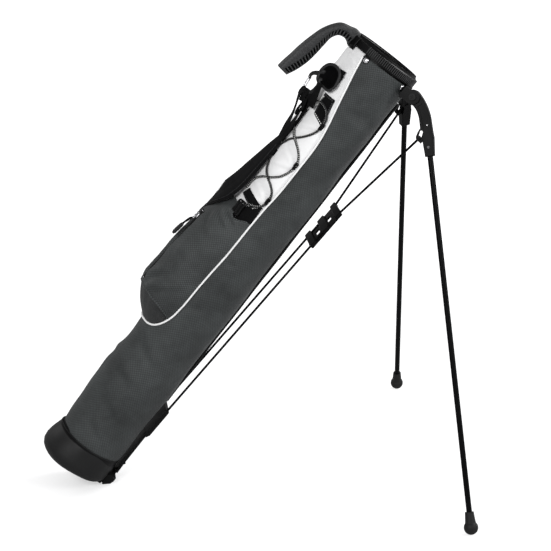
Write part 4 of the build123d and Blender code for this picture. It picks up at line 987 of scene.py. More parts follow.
def base_cup():
    """A soft skin over the moulding, open at the back where the toe lever sits."""
    heights = np.r_[-2, 0, 1.5, 3, 5, 8, 12, 16, 20, 24, 28, 32, 36, 40, 43, 46, 48, 49.5,
                    50.6, 51.4]
    around = np.arange(-180, 180, 3.0)
    angles, z = np.meshgrid(around, heights)
    hung = z - front_half(angles) * np.interp(z, [-2, 10, 30], [BOOT_SAG, 2.5, 0.0])
    opening = (around >= -30) & (around < 30) & (heights[:-1, None] < 28)
    shape = Shape()
    shape.grid(polar(angles, hung, boot_radius(angles, z)),
               u=np.radians(wrapped(angles, 360)) * 63, v=wrapped(z), wrap=True, keep=~opening)
    # dished underside
    angles, radii = np.meshgrid(around, [0.02, 12, 24, 36, 46, 52, BOOT_FLOOR])
    share = radii / BOOT_FLOOR
    z = (-2.0 - front_half(angles) * BOOT_SAG * (0.75 + 0.25 * share ** 2)
         - 1.2 * (1 - share ** 2))
    points = polar(angles, z, share * boot_radius(angles, -2.0))
    outer = points[1:]
    after = np.roll(outer, -1, axis=1)
    opening = ((np.maximum(outer[..., 0], after[..., 0]) > 18.5)
               & (np.minimum(np.abs(outer[..., 1]), np.abs(after[..., 1])) < 28.5))
    shape.grid(points, wrap=True, keep=~opening, flip=True, u=wrapped(angles, 360),
               v=wrapped(radii))
    shape.make("base_cup_skin", BOOT_VINYL)


def base_seam():
    shape = Shape()
    angles = np.linspace(-180, 180, 241)[:-1]
    shape.tube(polar(angles, 50.9, boot_radius(angles, 50.2) + 0.2), 0.95, seg=8, closed=True)
    shape.make("base_seam_cord", BOOT_VINYL)


def throat_liner():
    ripple = waves(51, 16, 25, 120, 2 * math.pi * 58)
    heights = np.r_[np.arange(66, 860, 12.0), np.arange(860, 881.5, 4)]
    angles, z = np.meshgrid(np.arange(-180, 180, 4.0), heights)
    pleats = 0.5 + 0.5 * np.cos(np.radians(angles) * 9 + 0.6 * np.sin(z / 60))
    r = (59.2 - 0.7 * (1 + ripple(np.radians(angles) * 58, z) * 0.8)
         * (1 - smooth_step(840, 880, z)) - 0.8 * pleats * (1 - smooth_step(850, 880, z)))
    shape = Shape()
    shape.grid(polar(angles, z, r), wrap=True, flip=True,
               u=np.radians(wrapped(angles, 360)) * 59, v=wrapped(z))
    shape.make("throat_liner_cloth", LINER_CLOTH, ["inner_liner"],
               thickness=-0.9)


# ------------------------------------------------------------------ strap hook
# local axes: x round the tube toward the front, y up the tube, z out of it
HOOK_OUT = np.array([-0.766, -0.643, 0.0])
HOOK_ROUND = np.array([-0.643, 0.766, 0.0])
hook_at = in_frame(np.array([-66.5, -32.5, 815.0]), [HOOK_ROUND, Z_AXIS, HOOK_OUT])
# the hook's ring: x, y
hook_outline = curve([
    (18.6, -6.9), (19.6, 4.5), (14.8, 15.6), (5.5, 20.6), (-3.5, 20.4), (-13.8, 15.2),
    (-19.0, 5.0), (-20.6, -7.5), (-15.5, -17.0), (-3.0, -17.8), (8.5, -17.2), (15.6, -13.6)],
    72, closed=True)
HOOK_SPINE = [(6.6, -24.0, 0.8), (7.2, -33.0, 0.8), (11.5, -41.0, 0.8), (18.4, -44.2, 0.8)]


def hook_casting():
    """A ring with an upper arm and a hooked spine."""
    shape = Shape()
    ring = hook_at([(x, y, 0.8) for x, y in hook_outline])
    shape.tube(ring, np.interp(hook_outline[:, 0], [-20, 0, 20], [2.2, 3.0, 3.6]), seg=12,
               closed=True, up=HOOK_OUT, flat=1.15)
    arm = [(15.5, 1.0, 0.8), (20.5, -5.6, 0.8), (26.0, -8.6, 0.8), (31.0, -12.6, 0.7),
           (32.6, -17.6, 0.6), (31.4, -22.0, 0.6)]
    shape.tube(hook_at(curve(arm, 40)), along(40, (4.6, 4.4, 3.5, 2.4), at=(0, 0.2, 0.6, 1)),
               seg=14)
    hook = [(10.5, -13.0, 0.8), *HOOK_SPINE, (25.2, -42.8, 0.7), (28.8, -39.4, 0.6)]
    shape.tube(hook_at(curve(hook, 56)),
               along(56, (4.6, 3.9, 3.4, 3.0, 2.6), at=(0, 0.15, 0.5, 0.8, 1)), seg=14)
    # ridges on the spine
    spine = hook_at(curve(HOOK_SPINE, 50))
    for t in np.linspace(0.1, 0.62, 9):
        k = int(t * 49)
        across = unit(np.cross(unit(spine[k + 1] - spine[k - 1]), HOOK_OUT))
        shape.tube(circle(spine[k], across, HOOK_OUT, 3.7, 18), 0.75, seg=6, closed=True)
    shape.make("strap_hook_casting", RIM_GREY, ["strap_hook_frame"])


def hook_disc():
    """A dished disc filling the ring, with a short bar on it."""
    shape = Shape()
    profile = ((0.90, -3.4), (0.93, 0.0), (0.90, 2.6), (0.86, 3.7), (0.80, 3.8), (0.74, 2.6),
               (0.70, 0.6), (0.45, 0.1), (0.2, 0.0), (0.02, 0.0))    # outline scale, z
    shape.rings([hook_at([(-2.5 + (x + 2.5) * scale - 1.6 * (1 - scale),
                           1.0 + (y - 1.0) * scale, z) for x, y in hook_outline])
                 for scale, z in profile])
    shape.tube(hook_at([(-4 + 4 * t, -6, 0.9) for t in np.linspace(-1, 1, 6)]), 1.5, seg=8)
    shape.make("strap_hook_disc", SOFT_BLACK, ["strap_hook_pad"])


def hook_gate():
    """Two wires bent together at the top and pinned through the hook's tip."""
    shape = Shape()
    for z in (-2.6, 3.4):
        wire = [(28.8, -40.2, z), (29.8, -32.0, z), (30.9, -22.5, z), (31.4, -19.6, z)]
        shape.tube(hook_at(curve(wire, 16)), 0.95, seg=8)
    bend = [(31.4, -19.6, -2.6), (31.9, -18.6, -1.6), (31.9, -18.4, 0.4), (31.9, -18.6, 2.4),
            (31.4, -19.6, 3.4)]
    shape.tube(hook_at(curve(bend, 20)), 0.78, seg=8)
    pin = [(28.8, -39.9, -3.6), (28.8, -39.9, 0), (28.8, -39.9, 4.3)]
    shape.tube(hook_at(curve(pin, 8)), 0.9, seg=8)
    shape.make("strap_hook_wire_gate", GATE_STEEL, ["strap_hook_gate"],
               body="hook_gate")


def hook_tab():
    """Webbing tab behind the hook ring, folded back on itself."""
    shape = Shape()
    path = [(-6, 9, -1.8), (-8, 12, -2.4), (-13, 14, -4.6), (-17, 14, -5.4)]
    shape.band(hook_at(curve(path, 30)), HOOK_OUT, 20.0, 1.6)
    path = [(-19, 6, -5.2), (-12, 6, -3.2), (0, 6, -2.6), (9, 5, -2.8)]
    shape.band(hook_at(curve(path, 24)), HOOK_OUT, 22.0, 1.7)
    shape.make("hook_tab_webbing", WEBBING, ["hook_webbing_tab"])


# ------------------------------------------------------------------ webbing patches on the panel
# patch corners: (angle, height) at top front, top near, bottom near, bottom front
def patch_points(corners, u, v, radius):
    top_front, top_near, low_near, low_front = np.array(corners, float)
    across, up = u[..., None], v[..., None]
    top = top_front * (1 - across) + top_near * across
    low = low_front * (1 - across) + low_near * across
    place = low * (1 - up) + top * up
    return polar(place[..., 0], place[..., 1], radius + 0.25 * np.sin(u * 9 + v * 4))


def add_patch(shape, corners, radius):
    u, v = np.meshgrid(np.linspace(0, 1, 26), np.linspace(0, 1, 22))
    rim = np.minimum(np.minimum(u, 1 - u) / 0.05, np.minimum(v, 1 - v) / 0.06)
    shape.grid(patch_points(corners, u, v, radius - 0.9 * (1 - np.clip(rim, 0, 1)) ** 2))


def patch_edges(corners, radius, inset):
    """Stitch lines inset mm inside the bottom, near, top and front edges."""
    du, dv = inset / 31.0, inset / 38.0
    loop = [(du, dv), (1 - du, dv), (1 - du, 1 - dv), (du, 1 - dv), (du, dv)]
    edges = []
    for (u0, v0), (u1, v1) in zip(loop, loop[1:]):
        t = np.linspace(0, 1, 60)
        edges.append(patch_points(corners, u0 + (u1 - u0) * t, v0 + (v1 - v0) * t,
                                  radius + 0.35))
    return edges


def strap_patch():
    shape = Shape()
    corners = [(-150.5, 791), (-127.6, 791.5), (-117.6, 742), (-143, 752)]
    add_patch(shape, corners, 65.0)
    edges = patch_edges(corners, 65.0, inset=2.6)
    shape.stitches(edges[0], 2.0, 2.0, 0.5, mat=1)
    for edge in edges[1:]:
        shape.stitches(edge, 2.4, 1.3, 0.24, mat=2)
    shape.stitches(curve(polar([-146.5, -147.5, -147], [786, 776, 764], 65.5), 40),
                   3.4, 0.9, 0.45, mat=1)
    shape.make("strap_patch_webbing", [WEBBING, WHITE_THREAD, GREY_THREAD],
               ["strap_webbing_patch"], thickness=1.6)


def strap_anchor():
    """Two overlapping pieces of webbing; the lower one has no stitches."""
    shape = Shape()
    upper = [(-161.0, 570.5), (-154.3, 585.6), (-113.2, 573.6), (-124.7, 559.8)]
    add_patch(shape, upper, 65.1)
    edges = patch_edges(upper, 65.1, inset=3.4)
    shape.stitches(edges[0], 2.0, 2.0, 0.5, mat=1)
    shape.stitches(edges[3], 1.8, 2.2, 0.4, mat=2)
    add_patch(shape, [(-147.2, 553.0), (-115.0, 573.6), (-112.6, 541.3), (-139.5, 528.4)], 66.3)
    shape.make("strap_anchor_tape", [WEBBING, WHITE_THREAD, GREY_THREAD],
               ["strap_anchor_webbing"], thickness=1.7)


def slide_buckle():
    """Frame with a centre bar, and the strap doubled through it."""
    angle = -143
    axes = tube_axes(angle)
    buckle_at = in_frame(polar(angle, 549.0, 70.5), axes)
    shape = Shape()
    outline = [(-6.4, -12.6, 0), (0, -13.2, 0.6), (6.4, -12.6, 0), (7.0, 0, 0.2),
               (6.4, 12.6, 0), (0, 13.2, 0.6), (-6.4, 12.6, 0), (-7.0, 0, 0.2)]
    shape.tube(buckle_at(curve(outline, 72, closed=True)), 1.75, seg=10, closed=True)
    shape.tube(buckle_at([(0, y, 0.5 - 0.2 * (y / 12) ** 2)
                          for y in np.linspace(-12.4, 12.4, 14)]), 1.5, seg=10)
    for x in (-3.4, 3.4):
        shape.band(buckle_at([(x, y, 0.9 - 0.3 * (y / 10) ** 2)
                              for y in np.linspace(-10.2, 10.2, 10)]), axes[2], 4.6, 2.4, mat=1)
    shape.make("slide_buckle_frame", [BLACK, WEBBING], ["strap_slide_buckle"])


# ------------------------------------------------------------------ shoulder strap
# the pad from bottom to top: x, y, z, width, thickness
PAD_STATIONS = [
    (-78.0, 45.5, 485.0, 24, 2.8), (-84.0, 33.0, 504.0, 25, 3.6), (-84.6, 18.0, 524.0, 30, 5.5),
    (-83.4, 6.0, 541.0, 37, 7.5), (-80.2, -4.0, 560, 42.5, 9.0), (-75.8, -9.2, 582, 42.5, 9.4),
    (-72.6, -12.0, 610, 37.5, 8.8), (-69.9, -15.2, 638, 31.0, 8.0),
    (-68.0, -18.2, 662, 25.5, 6.4), (-66.3, -20.2, 684, 18.0, 3.6)]


def shoulder_pad():
    n = 90
    stations = curve(PAD_STATIONS, n)
    path, width, thick = stations[:, :3], stations[:, 3:4], stations[:, 4:5]
    t = np.linspace(0, 1, n)
    at = (0, 0.1, 0.2, 0.4, 0.75, 1)
    face = unit(np.stack([along(n, (-0.78, -0.86, -0.95, -0.93, -0.94, -0.954), at),
                          along(n, (0.62, 0.5, 0.25, -0.33, -0.34, -0.30), at), 0 * t], 1))
    tangent = tangents_of(path)
    normal = square_to(face, tangent)
    side = np.cross(tangent, normal)
    quilt = 1 - 0.22 * np.exp(-((t * 5.0) % 1 - 0.5) ** 2 / 0.006) * ((t > 0.06) & (t < 0.9))
    end = np.sqrt(np.maximum(1 - np.abs(t * 2 - 1) ** 14, 0.06))[:, None]
    q = turn(32)
    x = soft(np.cos(q), 0.55)
    x_reach = (width / 2 - 1.2) * x * (0.9 + 0.1 * end)
    z_reach = (soft(np.sin(q), 0.75) * thick / 2 * quilt[:, None]
               * (1 - 0.10 * np.cos(x * 7.0)) * end)
    shape = Shape()
    shape.rings(path[:, None] + side[:, None] * x_reach[..., None]
                + normal[:, None] * z_reach[..., None])
    for edge in SIDES:
        shape.tube(path + side * edge * (width / 2 - 0.9),
                   along(n, (1.3, 1.6, 1.5, 0.9), at=(0, 0.1, 0.85, 1)), seg=8, mat=1)
        for face_side in SIDES:
            row = (path + side * edge * (width / 2 - 3.4)
                   + normal * face_side * (thick / 2 * 0.86))
            shape.stitches(curve(row[3:-4], 400), 2.8, 1.5, 0.3, mat=2)
    shape.make("shoulder_pad_quilted", [COVER_WEB, WEBBING, GREY_THREAD],
               ["shoulder_strap_pad"])


# bights with gaps between them, climbing to the hook: points, widths, normal, phase
BIGHTS = (
    ([(-66.0, -20.2, 680), (-67.6, -20.0, 691), (-72.0, -20.0, 710), (-75.4, -20.0, 729),
      (-79.6, -20.0, 743), (-84.6, -20.6, 756), (-87.2, -22.0, 766), (-85.5, -24.5, 772)],
     (16, 12, 9.5, 9, 9, 8), (-0.954, -0.30, 0.0), 0.0),
    ([(-64.6, -23.5, 682), (-64.6, -24.5, 692), (-63.6, -25.0, 703), (-61.8, -25.4, 716),
      (-62.0, -26.0, 728), (-63.4, -26.4, 740), (-65.8, -26.8, 753), (-70.0, -27.4, 764),
      (-74.0, -28.6, 773)],
     (12, 10, 9, 9, 8.5, 8), (-0.86, -0.5, 0), 1.0),
    ([(-66.5, -24.0, 741), (-69.2, -25.5, 752), (-74.6, -26.0, 762), (-82.0, -26.0, 769),
      (-86.0, -25.5, 776)],
     (5, 6.5, 7, 6.5, 5), (-0.8, -0.5, 0.3), 2.0))
# loops through the bottom of the hook, in its frame: points, count, width, thickness
HOOK_LOOPS = (
    ([(13.0, -60.0, 4.6), (14.0, -52.0, 6.8), (15.4, -44.0, 6.9), (16.6, -38.8, 3.4),
      (16.8, -37.8, -0.6), (16.0, -40.0, -4.6), (14.4, -48.0, -6.0), (13.0, -57.0, -4.6)],
     90, 10.5, 2.0),
    ([(24.5, -53.0, 4.4), (24.8, -47.0, 6.0), (25.0, -41.0, 5.0), (25.2, -38.6, 0.6),
      (25.0, -41.5, -4.2), (24.6, -48.0, -5.0), (24.2, -54.0, -3.4)], 70, 8.0, 1.9))


def shoulder_webbing():
    shape = Shape()
    # from the pad's lower end round to the far side
    path = curve([(-79.5, 43.5, 489), (-75.0, 49.5, 478), (-65.5, 59.3, 462),
                  (-48.5, 65.6, 440), (-33.5, 63.0, 424), (-27.0, 59.5, 418)], 60)
    shape.band(path, unit(path * [1, 1, 0] + np.array([0.0, 18.0, 0.0])),
               along(60, (22, 25, 25), at=(0, 0.2, 1)), 2.2)
    for points, widths, normal, phase in BIGHTS:
        wobble = 0.3 * np.sin(np.linspace(0, 1, 70) * 7 + phase)[:, None]
        shape.band(curve(points, 70), unit(normal + wobble * np.array([0.3, -0.95, 0.1])),
                   along(70, widths), 2.1)
    for points, count, width, thick in HOOK_LOOPS:
        path = hook_at(curve(points, count))
        shape.band(path, unit(np.cross(tangents_of(path), HOOK_ROUND)), width, thick)
    # web lying up the panel to the hook
    path = curve([(-63.2, -35.0, 757), (-65.2, -35.2, 767), (-68.0, -35.6, 778),
                  (-70.6, -36.0, 789), (-73.0, -35.6, 799)], 50)
    shape.band(path, unit([-0.80, -0.60, 0.0]), along(50, (17, 15, 9), at=(0, 0.4, 1)), 2.4)
    shape.make("shoulder_strap_tape", WEBBING, ["shoulder_strap_webbing"])


def strap_tail():
    shape = Shape()
    path = curve([(-66.6, -27.0, 686), (-67.4, -31.0, 699), (-69.2, -33.6, 716),
                  (-71.2, -34.6, 736), (-73.2, -34.0, 752), (-76.4, -31.5, 763)], 60)
    wobble = 0.5 * np.sin(np.linspace(0.5, 6.5, 60))[:, None]
    shape.band(path, unit([-0.90, -0.43, 0.0] + wobble * np.array([0.43, -0.9, 0])),
               along(60, (9, 9.5, 9, 7), at=(0, 0.2, 0.8, 1)), 2.0)
    path = curve([(-70.5, -29.0, 752), (-72.5, -31.5, 741), (-75.0, -33.5, 734),
                  (-77.0, -34.0, 741), (-76.6, -33.0, 752), (-75.0, -31.0, 762)], 50)
    shape.band(path, unit(np.cross(tangents_of(path), [-0.6, -0.7, 0.2])), 7.5, 1.8)
    shape.make("strap_loose_tail", WEBBING, ["strap_tail_webbing"])


# ------------------------------------------------------------------ laced elastic cord
# angle, height, radius of the surface under the cord
CORD_PATH = np.array([
    (-137.0, 563.5, 66.9), (-129.0, 566.5, 66.9), (-121.0, 571.5, 66.8), (-116.6, 578.0, 65.6),
    (-115.0, 584.0, 64.6), (-114.6, 592.5, 64.6), (-117.5, 604.0, 64.7), (-126.5, 613.5, 66.2),
    (-137.4, 621.0, 68.4), (-147.5, 628.5, 66.2), (-154.5, 638.0, 64.8), (-158.8, 650.0, 64.6),
    (-159.8, 666.0, 64.6), (-156.5, 680.0, 64.6), (-150.0, 692.0, 64.6), (-142.0, 701.0, 64.6),
    (-135.0, 708.0, 64.6), (-128.0, 717.0, 64.6), (-122.0, 728.0, 64.6), (-119.4, 738.0, 64.6),
    (-119.0, 747.0, 64.6), (-119.8, 756.0, 65.3), (-124.0, 765.5, 66.8), (-133.0, 772.5, 67.0),
    (-143.0, 774.5, 67.0), (-152.0, 770.0, 66.8), (-158.6, 760.0, 65.6), (-161.0, 749.0, 64.6),
    (-161.2, 736.0, 64.6), (-159.0, 722.0, 64.7), (-152.5, 710.0, 66.2), (-142.0, 701.0, 68.4),
    (-133.5, 694.5, 66.2), (-125.0, 687.5, 64.7), (-118.0, 679.0, 64.6), (-114.6, 669.5, 64.6),
    (-114.4, 659.0, 64.6), (-116.9, 646.5, 64.6), (-122.5, 635.0, 64.6), (-129.5, 627.3, 64.6),
    (-137.4, 621.0, 64.6), (-147.0, 614.6, 64.6), (-154.5, 606.5, 64.6), (-158.8, 596.5, 64.6),
    (-159.6, 583.0, 64.6)])
# both ends of each guide tunnel: angle, height
TUNNELS = (((-114.9, 582.6), (-114.6, 594.0)), ((-119.2, 737.0), (-119.1, 749.5)),
           ((-114.7, 670.2), (-114.4, 658.2)), ((-159.3, 652.0), (-159.8, 664.5)),
           ((-161.0, 749.0), (-161.2, 736.5)))


def elastic_cord():
    n = 620
    shape = Shape()
    shape.tube(curve(polar(*(CORD_PATH + [0, 0, 0.6]).T), n),
               1.95 + 0.06 * np.sin(np.arange(n) * 0.9), seg=10)
    shape.make("elastic_cord_braid", CORD, ["bungee_cord"])


def cord_tunnels():
    """A short sleeve round the cord with a sewn tab on each side."""
    shape = Shape()
    t = np.linspace(0, 1, 14)
    u, v = np.linspace(0.6, 3.3, 5), np.linspace(-6, 6, 6)[:, None]
    for (a0, z0), (a1, z1) in TUNNELS:
        shape.tube(polar(a0 + (a1 - a0) * t, z0 + (z1 - z0) * t, 64.85),
                   2.7 + 0.2 * np.cos(t * math.pi * 2), seg=12, rounded=False)
        for side in SIDES:
            shape.grid(polar((a0 + a1) / 2 + side * u, (z0 + z1) / 2 + v,
                             63.5 + 0.9 * (1 - np.minimum(u / 3.2, 1))), flip=side < 0)
    shape.make("cord_guide_tunnels", WEBBING, ["cord_loops"])


# ------------------------------------------------------------------ grab handle
# side outlines from the foot over the top: x, z
HANDLE_OUTER = [
    (-140.6, 777.0), (-138.6, 790.0), (-136.0, 802.6), (-131.6, 827.0), (-125.6, 850.0),
    (-118.0, 871.6), (-109.4, 885.8), (-97.0, 898.2), (-80.8, 902.2), (-68.6, 904.6),
    (-61.0, 902.2), (-58.0, 895.6)]
HANDLE_INNER = [
    (-122.6, 774.0), (-113.8, 791.6), (-107.2, 811.2), (-103.8, 832.0), (-102.0, 851.8),
    (-99.2, 869.8), (-92.0, 879.4), (-81.8, 881.8), (-71.6, 879.2), (-64.6, 875.0),
    (-60.6, 870.6)]


def handle():
    """Curved moulding with a row of finger slots over a soft grip."""
    n, n_bars = 240, 26
    outer, inner = (np.insert(curve(side, n), 1, 0.0, axis=1)
                    for side in (HANDLE_OUTER, HANDLE_INNER))
    depths = np.linalg.norm(outer - inner, axis=1)
    across = unit(outer - inner)
    slot_depths = along(n, (9.8, 10.6, 9.6, 8.2), at=(0, 0.1, 0.7, 1.0))
    foot = np.maximum(0.0, 1 - np.linspace(0, 1, n) / 0.02)
    end = np.sqrt(np.maximum(1 - foot ** 2 * 0.35, 0.1))

    def section(i, outline, squeeze=1.0):
        return [inner[i] + across[i] * a + FAR * b * squeeze for a, b in outline]

    shape = Shape()
    rings = []
    for i in range(0, n, 2):
        s, d = slot_depths[i], depths[i]
        half = [(0.0, 7.2), (0.7, 8.0), (s - 0.8, 8.0), (s - 0.1, 9.0), (s + 0.5, 10.3),
                (s + 1.6, 11.0), (d - 4.2, 10.4), (d - 2.0, 8.8), (d - 0.6, 6.2), (d, 2.4)]
        rings.append(section(i, [(a, -b) for a, b in half] + half[::-1], end[i]))
    shape.rings(rings[::-1])
    # bars between the slots
    d = lengths(inner)
    for k in range(n_bars):
        i = int(np.searchsorted(d, 2.6 + (d[-1] - 10.0) * k / (n_bars - 1)))
        e = across[i]
        half_bar = 2.0 if k in (0, n_bars - 1) else 1.0
        shape.box(inner[i] + e * (slot_depths[i] / 2 + 0.1), (e, (-e[2], 0, e[0]), FAR),
                  (slot_depths[i] / 2 + 0.5, half_bar, 10.4), chamfer=0.35)
    for side in SIDES:
        shape.tube(inner[2:236:3] + FAR * side * 9.4, 1.0, seg=8)
    # soft grip seen through the slots
    rings = []
    for i in range(4, 232, 3):
        top = slot_depths[i] - 1.0
        rings.append(section(i, [(0.6, -8.25), (top, -8.25), (top, 8.25), (0.6, 8.25)]))
    shape.rings(rings[::-1], mat=1)
    shape.make("handle_moulding", [HANDLE_GREY, SOFT_BLACK],
               ["grab_handle", "handle_grip"], sharp=50)


def handle_foot():
    """A plate round the front of the collar."""
    profile = ((874.0, 66.4), (874.8, 67.8), (876.6, 68.7), (880.0, 69.0), (888.0, 68.9),
               (894.0, 68.6), (896.6, 67.8), (897.4, 66.4))     # height, radius
    spread = np.linspace(-22, 22, 25)
    drop = 0.9 * np.maximum(0, np.abs(spread) - 18) / 4
    shape = Shape()
    shape.grid(np.array([polar(180 + spread * (1.0 if z > 875 else 0.94), z, r - drop)
                         for z, r in profile]))
    shape.make("handle_foot", BLACK, thickness=2.0)


# ------------------------------------------------------------------ small hard details
def collar_ribs():
    """Ribs moulded round both flanks of the collar."""
    shape = Shape()
    for side in SIDES:
        for angle in side * np.linspace(50, 133, 27):
            shape.box(polar(angle, 890.6, 66.45), tube_axes(angle), (0.95, 6.0, 1.1), chamfer=0.5)
    shape.make("collar_ribs", RIB_GREY)


def spacer_block():
    """Flat back plate with two small slots, and three clips across it that hold the wires."""
    up = unit([0.05325, 0.0, 0.99858])
    out = unit([0.99858, 0.0, -0.05325])
    axes = (FAR, up, out)
    block_at = in_frame(np.array([95.545, 0.0, 601.5]), axes)
    # plate pieces: y from, to, z from, to, chamfer
    plates = ((-31.0, -8.0, -39.0, 39.0, 0.3), (8.0, 31.0, -39.0, 39.0, 0.3),
              (-8.4, 8.4, -39.0, -20.0, 0.05), (-8.4, 8.4, -11.4, 9.6, 0.05),
              (-8.4, 8.4, 18.2, 39.0, 0.05))
    shape = Shape()
    for y0, y1, z0, z1, chamfer in plates:
        shape.box(block_at([(y0 + y1) / 2, (z0 + z1) / 2, 1.9]), axes,
                  ((y1 - y0) / 2, (z1 - z0) / 2, 1.6), chamfer)
    for z0, z1 in ((27.0, 39.5), (-7.0, 9.0), (-39.5, -25.8)):
        shape.box(block_at([0, (z0 + z1) / 2, -1.2]), axes, (31.0, (z1 - z0) / 2, 2.3),
                  chamfer=0.45)
    for side in SIDES:
        for z0, z1 in ((26.0, 39.9), (-8.4, 10.4), (-39.9, -24.4)):
            shape.tube(block_at([(side * 20.0, z, 0) for z in np.linspace(z0, z1, 8)]), 3.1,
                       seg=14, rounded=False)
    shape.make("spacer_block_moulding", ELBOW_BLACK, ["rod_spacer_block"],
               body="push_link", sharp=40)


def rivets():
    """Domed rivet caps with a dark ring round each."""
    dome = ((4.9, 0.0), (4.7, 0.8), (4.1, 1.7), (3.0, 2.4), (1.6, 2.8), (0.05, 2.9))
    washer = ((6.2, -0.6), (6.1, 0.35), (5.2, 0.5), (4.6, 0.3))     # radius, height out
    shape = Shape()
    for angle in (51.5, 128.0):
        for side in SIDES:
            around, up, out = tube_axes(side * angle)
            seat = polar(side * angle, 875.0, 63.2)
            for mat, profile in enumerate((dome, washer)):
                shape.rings([circle(seat + out * h, around, up, r, 24) for r, h in profile],
                            mat=mat)
    shape.make("rivet_caps", [BRIGHT_STEEL, BLACK], ["collar_rivets"])


def spine_cover():
    """A flat cloth cover down the back line."""
    heights = np.linspace(186, 846, 160)
    angles, z = np.meshgrid(np.linspace(-13.5, 13.5, 15), heights)
    r = (67.3 - 3.6 * np.clip((np.abs(angles) - 9.5) / 4.0, 0, 1) ** 1.6
         + 0.22 * np.sin(z / 19.0) + 0.1 * np.sin(z / 4.3 + angles))
    r = np.where((z < 189) | (z > 843), r - 2.2, r)
    shape = Shape()
    shape.grid(polar(angles, z, r))
    for angle in (-8.5, 8.5):
        shape.stitches(polar(angle, heights, 67.45 + 0.22 * np.sin(heights / 19.0)),
                       2.8, 1.6, 0.28, mat=1)
    shape.make("spine_cover_tape", [COVER_WEB, GREY_THREAD], ["spine_strip"])


for build in (sleeve, sleeve_topstitch, front_panel, piping, pocket, pocket_hems, mesh_gusset,
              zip_tape, zip_teeth, zip_stops, zip_slider, zip_pull, base_cup, base_seam,
              throat_liner, hook_casting, hook_disc, hook_gate, hook_tab, strap_patch,
              strap_anchor, slide_buckle, shoulder_pad, shoulder_webbing, strap_tail,
              elastic_cord, cord_tunnels, handle, handle_foot, collar_ribs, spacer_block,
              rivets, spine_cover):
    build()

# ------------------------------------------------------------------ CAD parts
# material and edge width in mm, by part name
FINISHES = {
    "base_boot": (BLACK, 0.6), "base_foam_disc": (FOAM, 0), "toe_lever_pin": (DARK_STEEL, 0.3),
    "toe_lever": (BLACK, 0.7), "toe_rubber_pad": (RUBBER, 0.5),
    "push_plate_pin": (DARK_STEEL, 0.3), "push_plate": (BLACK, 0.6),
    "grab_handle": (HANDLE_GREY, 0.8), "handle_grip": (SOFT_BLACK, 1.0),
    "handle_screws": (BRIGHT_STEEL, 0.2), "top_collar": (BLACK, 0.5),
    "collar_rivets": (BRIGHT_STEEL, 0.25), "stand_yoke": (ELBOW_BLACK, 0.6),
    "leg_pivot_pins": (BLACK, 0.25), "spine_strip": (COVER_WEB, 0.4),
    "rod_spacer_block": (BLACK, 0.7)}
SLOT_MATERIALS = {
    "boot_plastic": BLACK, "black_plastic": BLACK, "grey_plastic": CHARCOAL,
    "soft_black": SOFT_BLACK, "rubber": RUBBER, "foam": FOAM, "steel": BRIGHT_STEEL,
    "leg_tube": LEG_GLOSS, "black_wire": ROD_BLACK}

part_slots = {}
for part in frame["record"].get("subparts") or []:
    part_name = part.get("node") or part.get("name")
    part_slot = part.get("material_slot") or part.get("material")
    if part_name and isinstance(part_slot, str):
        part_slots[part_name] = part_slot


def finish_of(name):
    if name in FINISHES:
        return FINISHES[name]
    if "tube" in name:
        return LEG_GLOSS, 0.3
    if "foot" in name:
        return RUBBER, 0.8
    if "elbow" in name and "screw" not in name:
        return ELBOW_BLACK, 0.8
    if "screw" in name or "pin" in name or "rivet" in name:
        return DARK_STEEL, 0.2
    if "rod" in name:
        return ROD_BLACK, 0.2
    return SLOT_MATERIALS.get(part_slots.get(name), BLACK), 0.4


def finish_part(name, obj):
    material, edge = finish_of(name)
    mesh = obj.data
    mesh.materials.clear()
    mesh.materials.append(material)
    weld = obj.modifiers.new("weld", "WELD")
    weld.merge_threshold = 2e-5
    if edge:
        bevel = obj.modifiers.new("edge", "BEVEL")
        bevel.width = edge / 1000.0
        bevel.segments = 2
        bevel.limit_method = "ANGLE"
        bevel.angle_limit = math.radians(38)
        bevel.harden_normals = False
        bevel.use_clamp_overlap = True
    if "rod" in name and "block" not in name:
        coating = obj.modifiers.new("coating", "DISPLACE")
        coating.direction = "NORMAL"
        coating.mid_level = 0.0
        coating.strength = 0.00045
    for face in mesh.polygons:
        face.use_smooth = True
    if "custom_normal" in mesh.attributes:
        mesh.attributes.remove(mesh.attributes["custom_normal"])
    normals = obj.modifiers.new("normals", "WEIGHTED_NORMAL")
    normals.keep_sharp = True


for part_name, part in frame["nodes"].items():
    if not part.hide_render:
        finish_part(part_name, part)

# ------------------------------------------------------------------ floor, light, camera (metres)
scene = bpy.context.scene
scene.view_settings.view_transform = "Standard"
scene.view_settings.look = "None"
scene.view_settings.exposure = 0.0
scene.view_settings.gamma = 1.0


def studio_world():
    """White to the camera, dimmer as a light."""
    world = bpy.data.worlds.new("studio")
    scene.world = world
    world.use_nodes = True
    nodes, links = world.node_tree.nodes, world.node_tree.links
    seen = nodes["Background"]
    lighting = nodes.new("ShaderNodeBackground")
    for background, strength in ((seen, 1.0), (lighting, 0.24)):
        background.inputs[0].default_value = (1, 1, 1, 1)
        background.inputs[1].default_value = strength
    path = nodes.new("ShaderNodeLightPath")
    mix = nodes.new("ShaderNodeMixShader")
    output = next(node for node in nodes if node.type == "OUTPUT_WORLD")
    links.new(path.outputs["Is Camera Ray"], mix.inputs[0])
    links.new(lighting.outputs[0], mix.inputs[1])
    links.new(seen.outputs[0], mix.inputs[2])
    links.new(mix.outputs[0], output.inputs[0])


